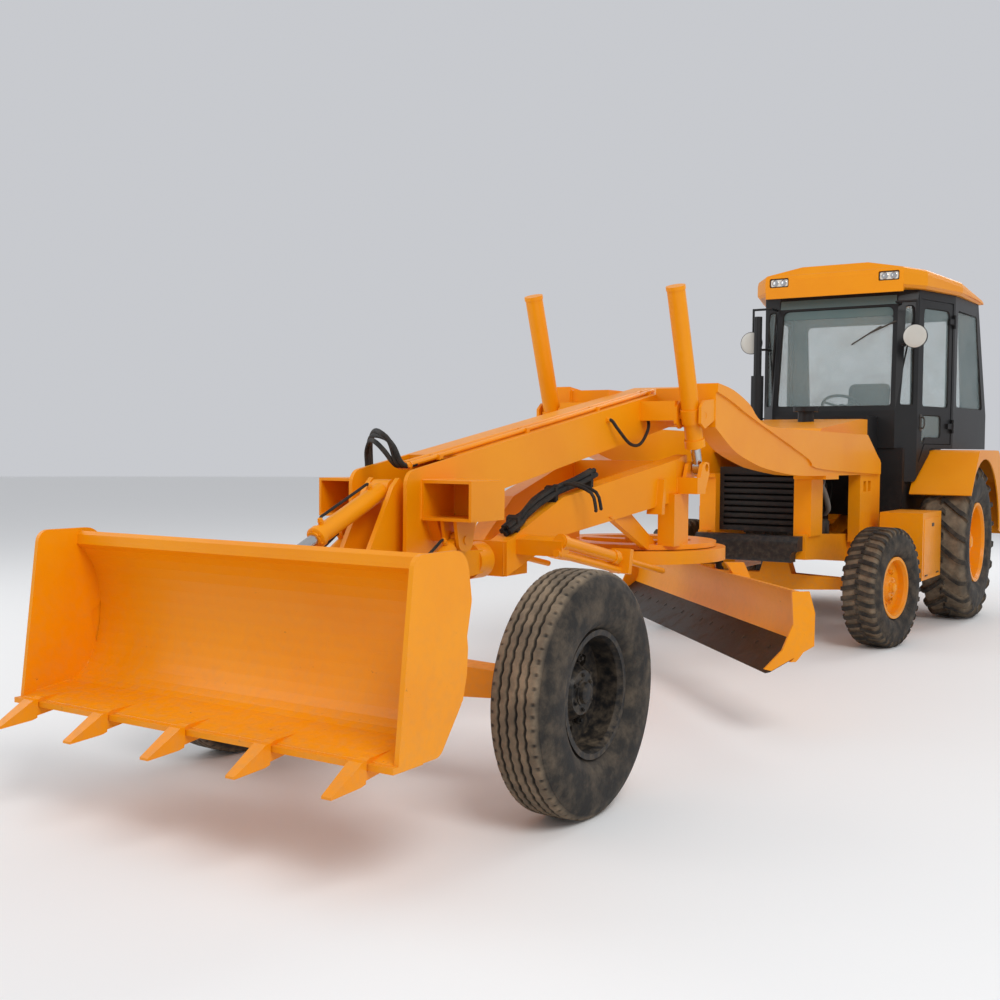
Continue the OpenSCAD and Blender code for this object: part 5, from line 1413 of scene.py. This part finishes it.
    def boxes(self) -> None:
        """A raised door with hinges and a latch on each side box, a filler cap on the right one."""
        door, dark = Piece("box_doors"), Piece("box_latches")
        for side in SIDES:
            face = Cad.face("side_boxes", (side, 0, 0), 0.05, side)
            (y0, z0), (y1, z1) = face.outline[:, 1:].min(0) + [45, 40], face.outline[:, 1:].max(0) - [45, 50]
            place = Place(np.array([[0, 0, side], [side, 0, 0], [0, 1.0, 0]]), (face.outline[0, 0], 0, 0))
            a0, a1 = sorted((side * y0, side * y1))
            mid = (a0 + a1) / 2
            door.add(plate(a0, a1, z0, z1, -2, 5), place)
            dark.add(plate(mid - 34, mid + 34, z1 - 74, z1 - 44, 3, 11), place)
            for a in (a0 + 90, a1 - 90):
                dark.add(tube([[a - 34, z0 - 2, 6], [a + 34, z0 - 2, 6]], 6.0, 10), place)
        dark.spread(revolve([[0, 52], [10, 52], [12, 46], [30, 46], [34, 42], [36, 20], [36, 0]], 36), self.filler)
        door.finish("frame", Finish.ORANGE, "orange_paint")
        dark.finish("frame", Finish.TRIM, "black_paint")

    def build(self) -> None:
        """Builds all of the cab's fittings."""
        self.tail_lamps()
        self.boxes()
        self.seat()
        self.seals()
        self.windscreen()
        self.doors()
        self.lamps()


# ---- studio
@dataclass
class Studio:
    """Pale floor and backdrop, soft lamps and the camera at the photograph's place."""

    focal_mm: float = 42.74
    sensor_mm: float = 36.0
    eye: Triple = (3.430, -4.427, 1.553)
    yaw: float = 32.56
    pitch: float = 2.36
    roll: float = 0.49
    pale: Colour = (0.86, 0.86, 0.85)
    sky: tuple[float, ...] = (0.93, 0.95, 1.0, 1.0)
    sky_strength: float = 0.62
    floor_radius: float = 60.0

    def stand(self, name: str, data: bpy.types.ID, turn: Matrix, place: Sequence[float]) -> bpy.types.Object:
        """Puts an object in the scene.

        Args:
            name: the object's name.
            data: its mesh, lamp or camera.
            turn: its rotation.
            place: where it stands, in metres of the row frame.

        Returns:
            The object.
        """
        thing = bpy.data.objects.new(name, data)
        bpy.context.scene.collection.objects.link(thing)
        thing.matrix_world = Matrix.Translation(place) @ turn.to_4x4()
        return thing

    def floor(self) -> None:
        """Lays the floor as a disc: x = r cos a, y = r sin a, z = 0."""
        points = ring_of(64, self.floor_radius, 0.0)
        mesh = bpy.data.meshes.new("floor")
        mesh.from_pydata(points.tolist(), [], [list(range(len(points)))])
        s = Shader("floor_pale")
        s.set(Base_Color=self.pale, Roughness=0.9, Specular_IOR_Level=0.1)
        mesh.materials.append(s.material)
        self.stand("floor", mesh, Matrix.Identity(3), (0.0, 0.0, 0.0))

    def world(self) -> None:
        """An even pale sky."""
        world = bpy.data.worlds.new("sky")
        bpy.context.scene.world = world
        world.use_nodes = True
        back = world.node_tree.nodes["Background"]
        back.inputs["Color"].default_value = self.sky
        back.inputs["Strength"].default_value = self.sky_strength

    def lamp(self, name: str, place: Triple, target: Triple, size: float, power: float) -> None:
        """Adds a square area lamp.

        Args:
            name: its name.
            place: where it hangs, in metres.
            target: what it is turned to.
            size: its side, in metres.
            power: its power in watts.
        """
        light = bpy.data.lights.new(name, "AREA")
        light.shape, light.size, light.energy = "SQUARE", size, power
        away = Vector(place) - Vector(target)
        self.stand(name, light, away.to_track_quat("Z", "Y").to_matrix(), place)

    def camera(self) -> None:
        """Stands the camera where the fit of the photograph puts it.

        From a camera that looks down its own -Z, the rotation is Rz(yaw) Rx(90 - pitch) Rz(roll).
        """
        steps = ((self.yaw, "Z"), (90.0 - self.pitch, "X"), (self.roll, "Z"))
        yaw, pitch, roll = (Matrix.Rotation(math.radians(angle), 3, axis) for angle, axis in steps)
        data = bpy.data.cameras.new("camera")
        data.lens, data.sensor_width, data.clip_end = self.focal_mm, self.sensor_mm, 200.0
        bpy.context.scene.camera = self.stand("camera", data, yaw @ pitch @ roll, self.eye - ROW * MM)

    def build(self) -> None:
        """Sets up the whole studio."""
        self.floor()
        self.world()
        self.camera()
        self.lamp("key", (9.0, -9.0, 11.0), (0.0, -1.5, 0.8), 6.0, 900.0)
        self.lamp("fill", (-9.0, -6.0, 6.0), (0.0, 0.0, 1.0), 8.0, 300.0)
        self.lamp("back", (2.0, 11.0, 9.0), (0.0, 1.0, 1.0), 7.0, 450.0)
        bpy.context.scene.view_settings.view_transform = "Standard"


def main() -> None:
    """Builds the studio, dresses the CAD pieces and adds the machine's own detail."""
    logging.basicConfig(level=logging.INFO, format="%(message)s")
    Studio().build()
    dress_nodes()
    LOG.info("dressed %d nodes", len(frame["nodes"]))
    for group in (Wheels(), Welds(), WorkingGear(), EngineBay(), Cab()):
        group.build()


if __name__ == "__main__":
    main()
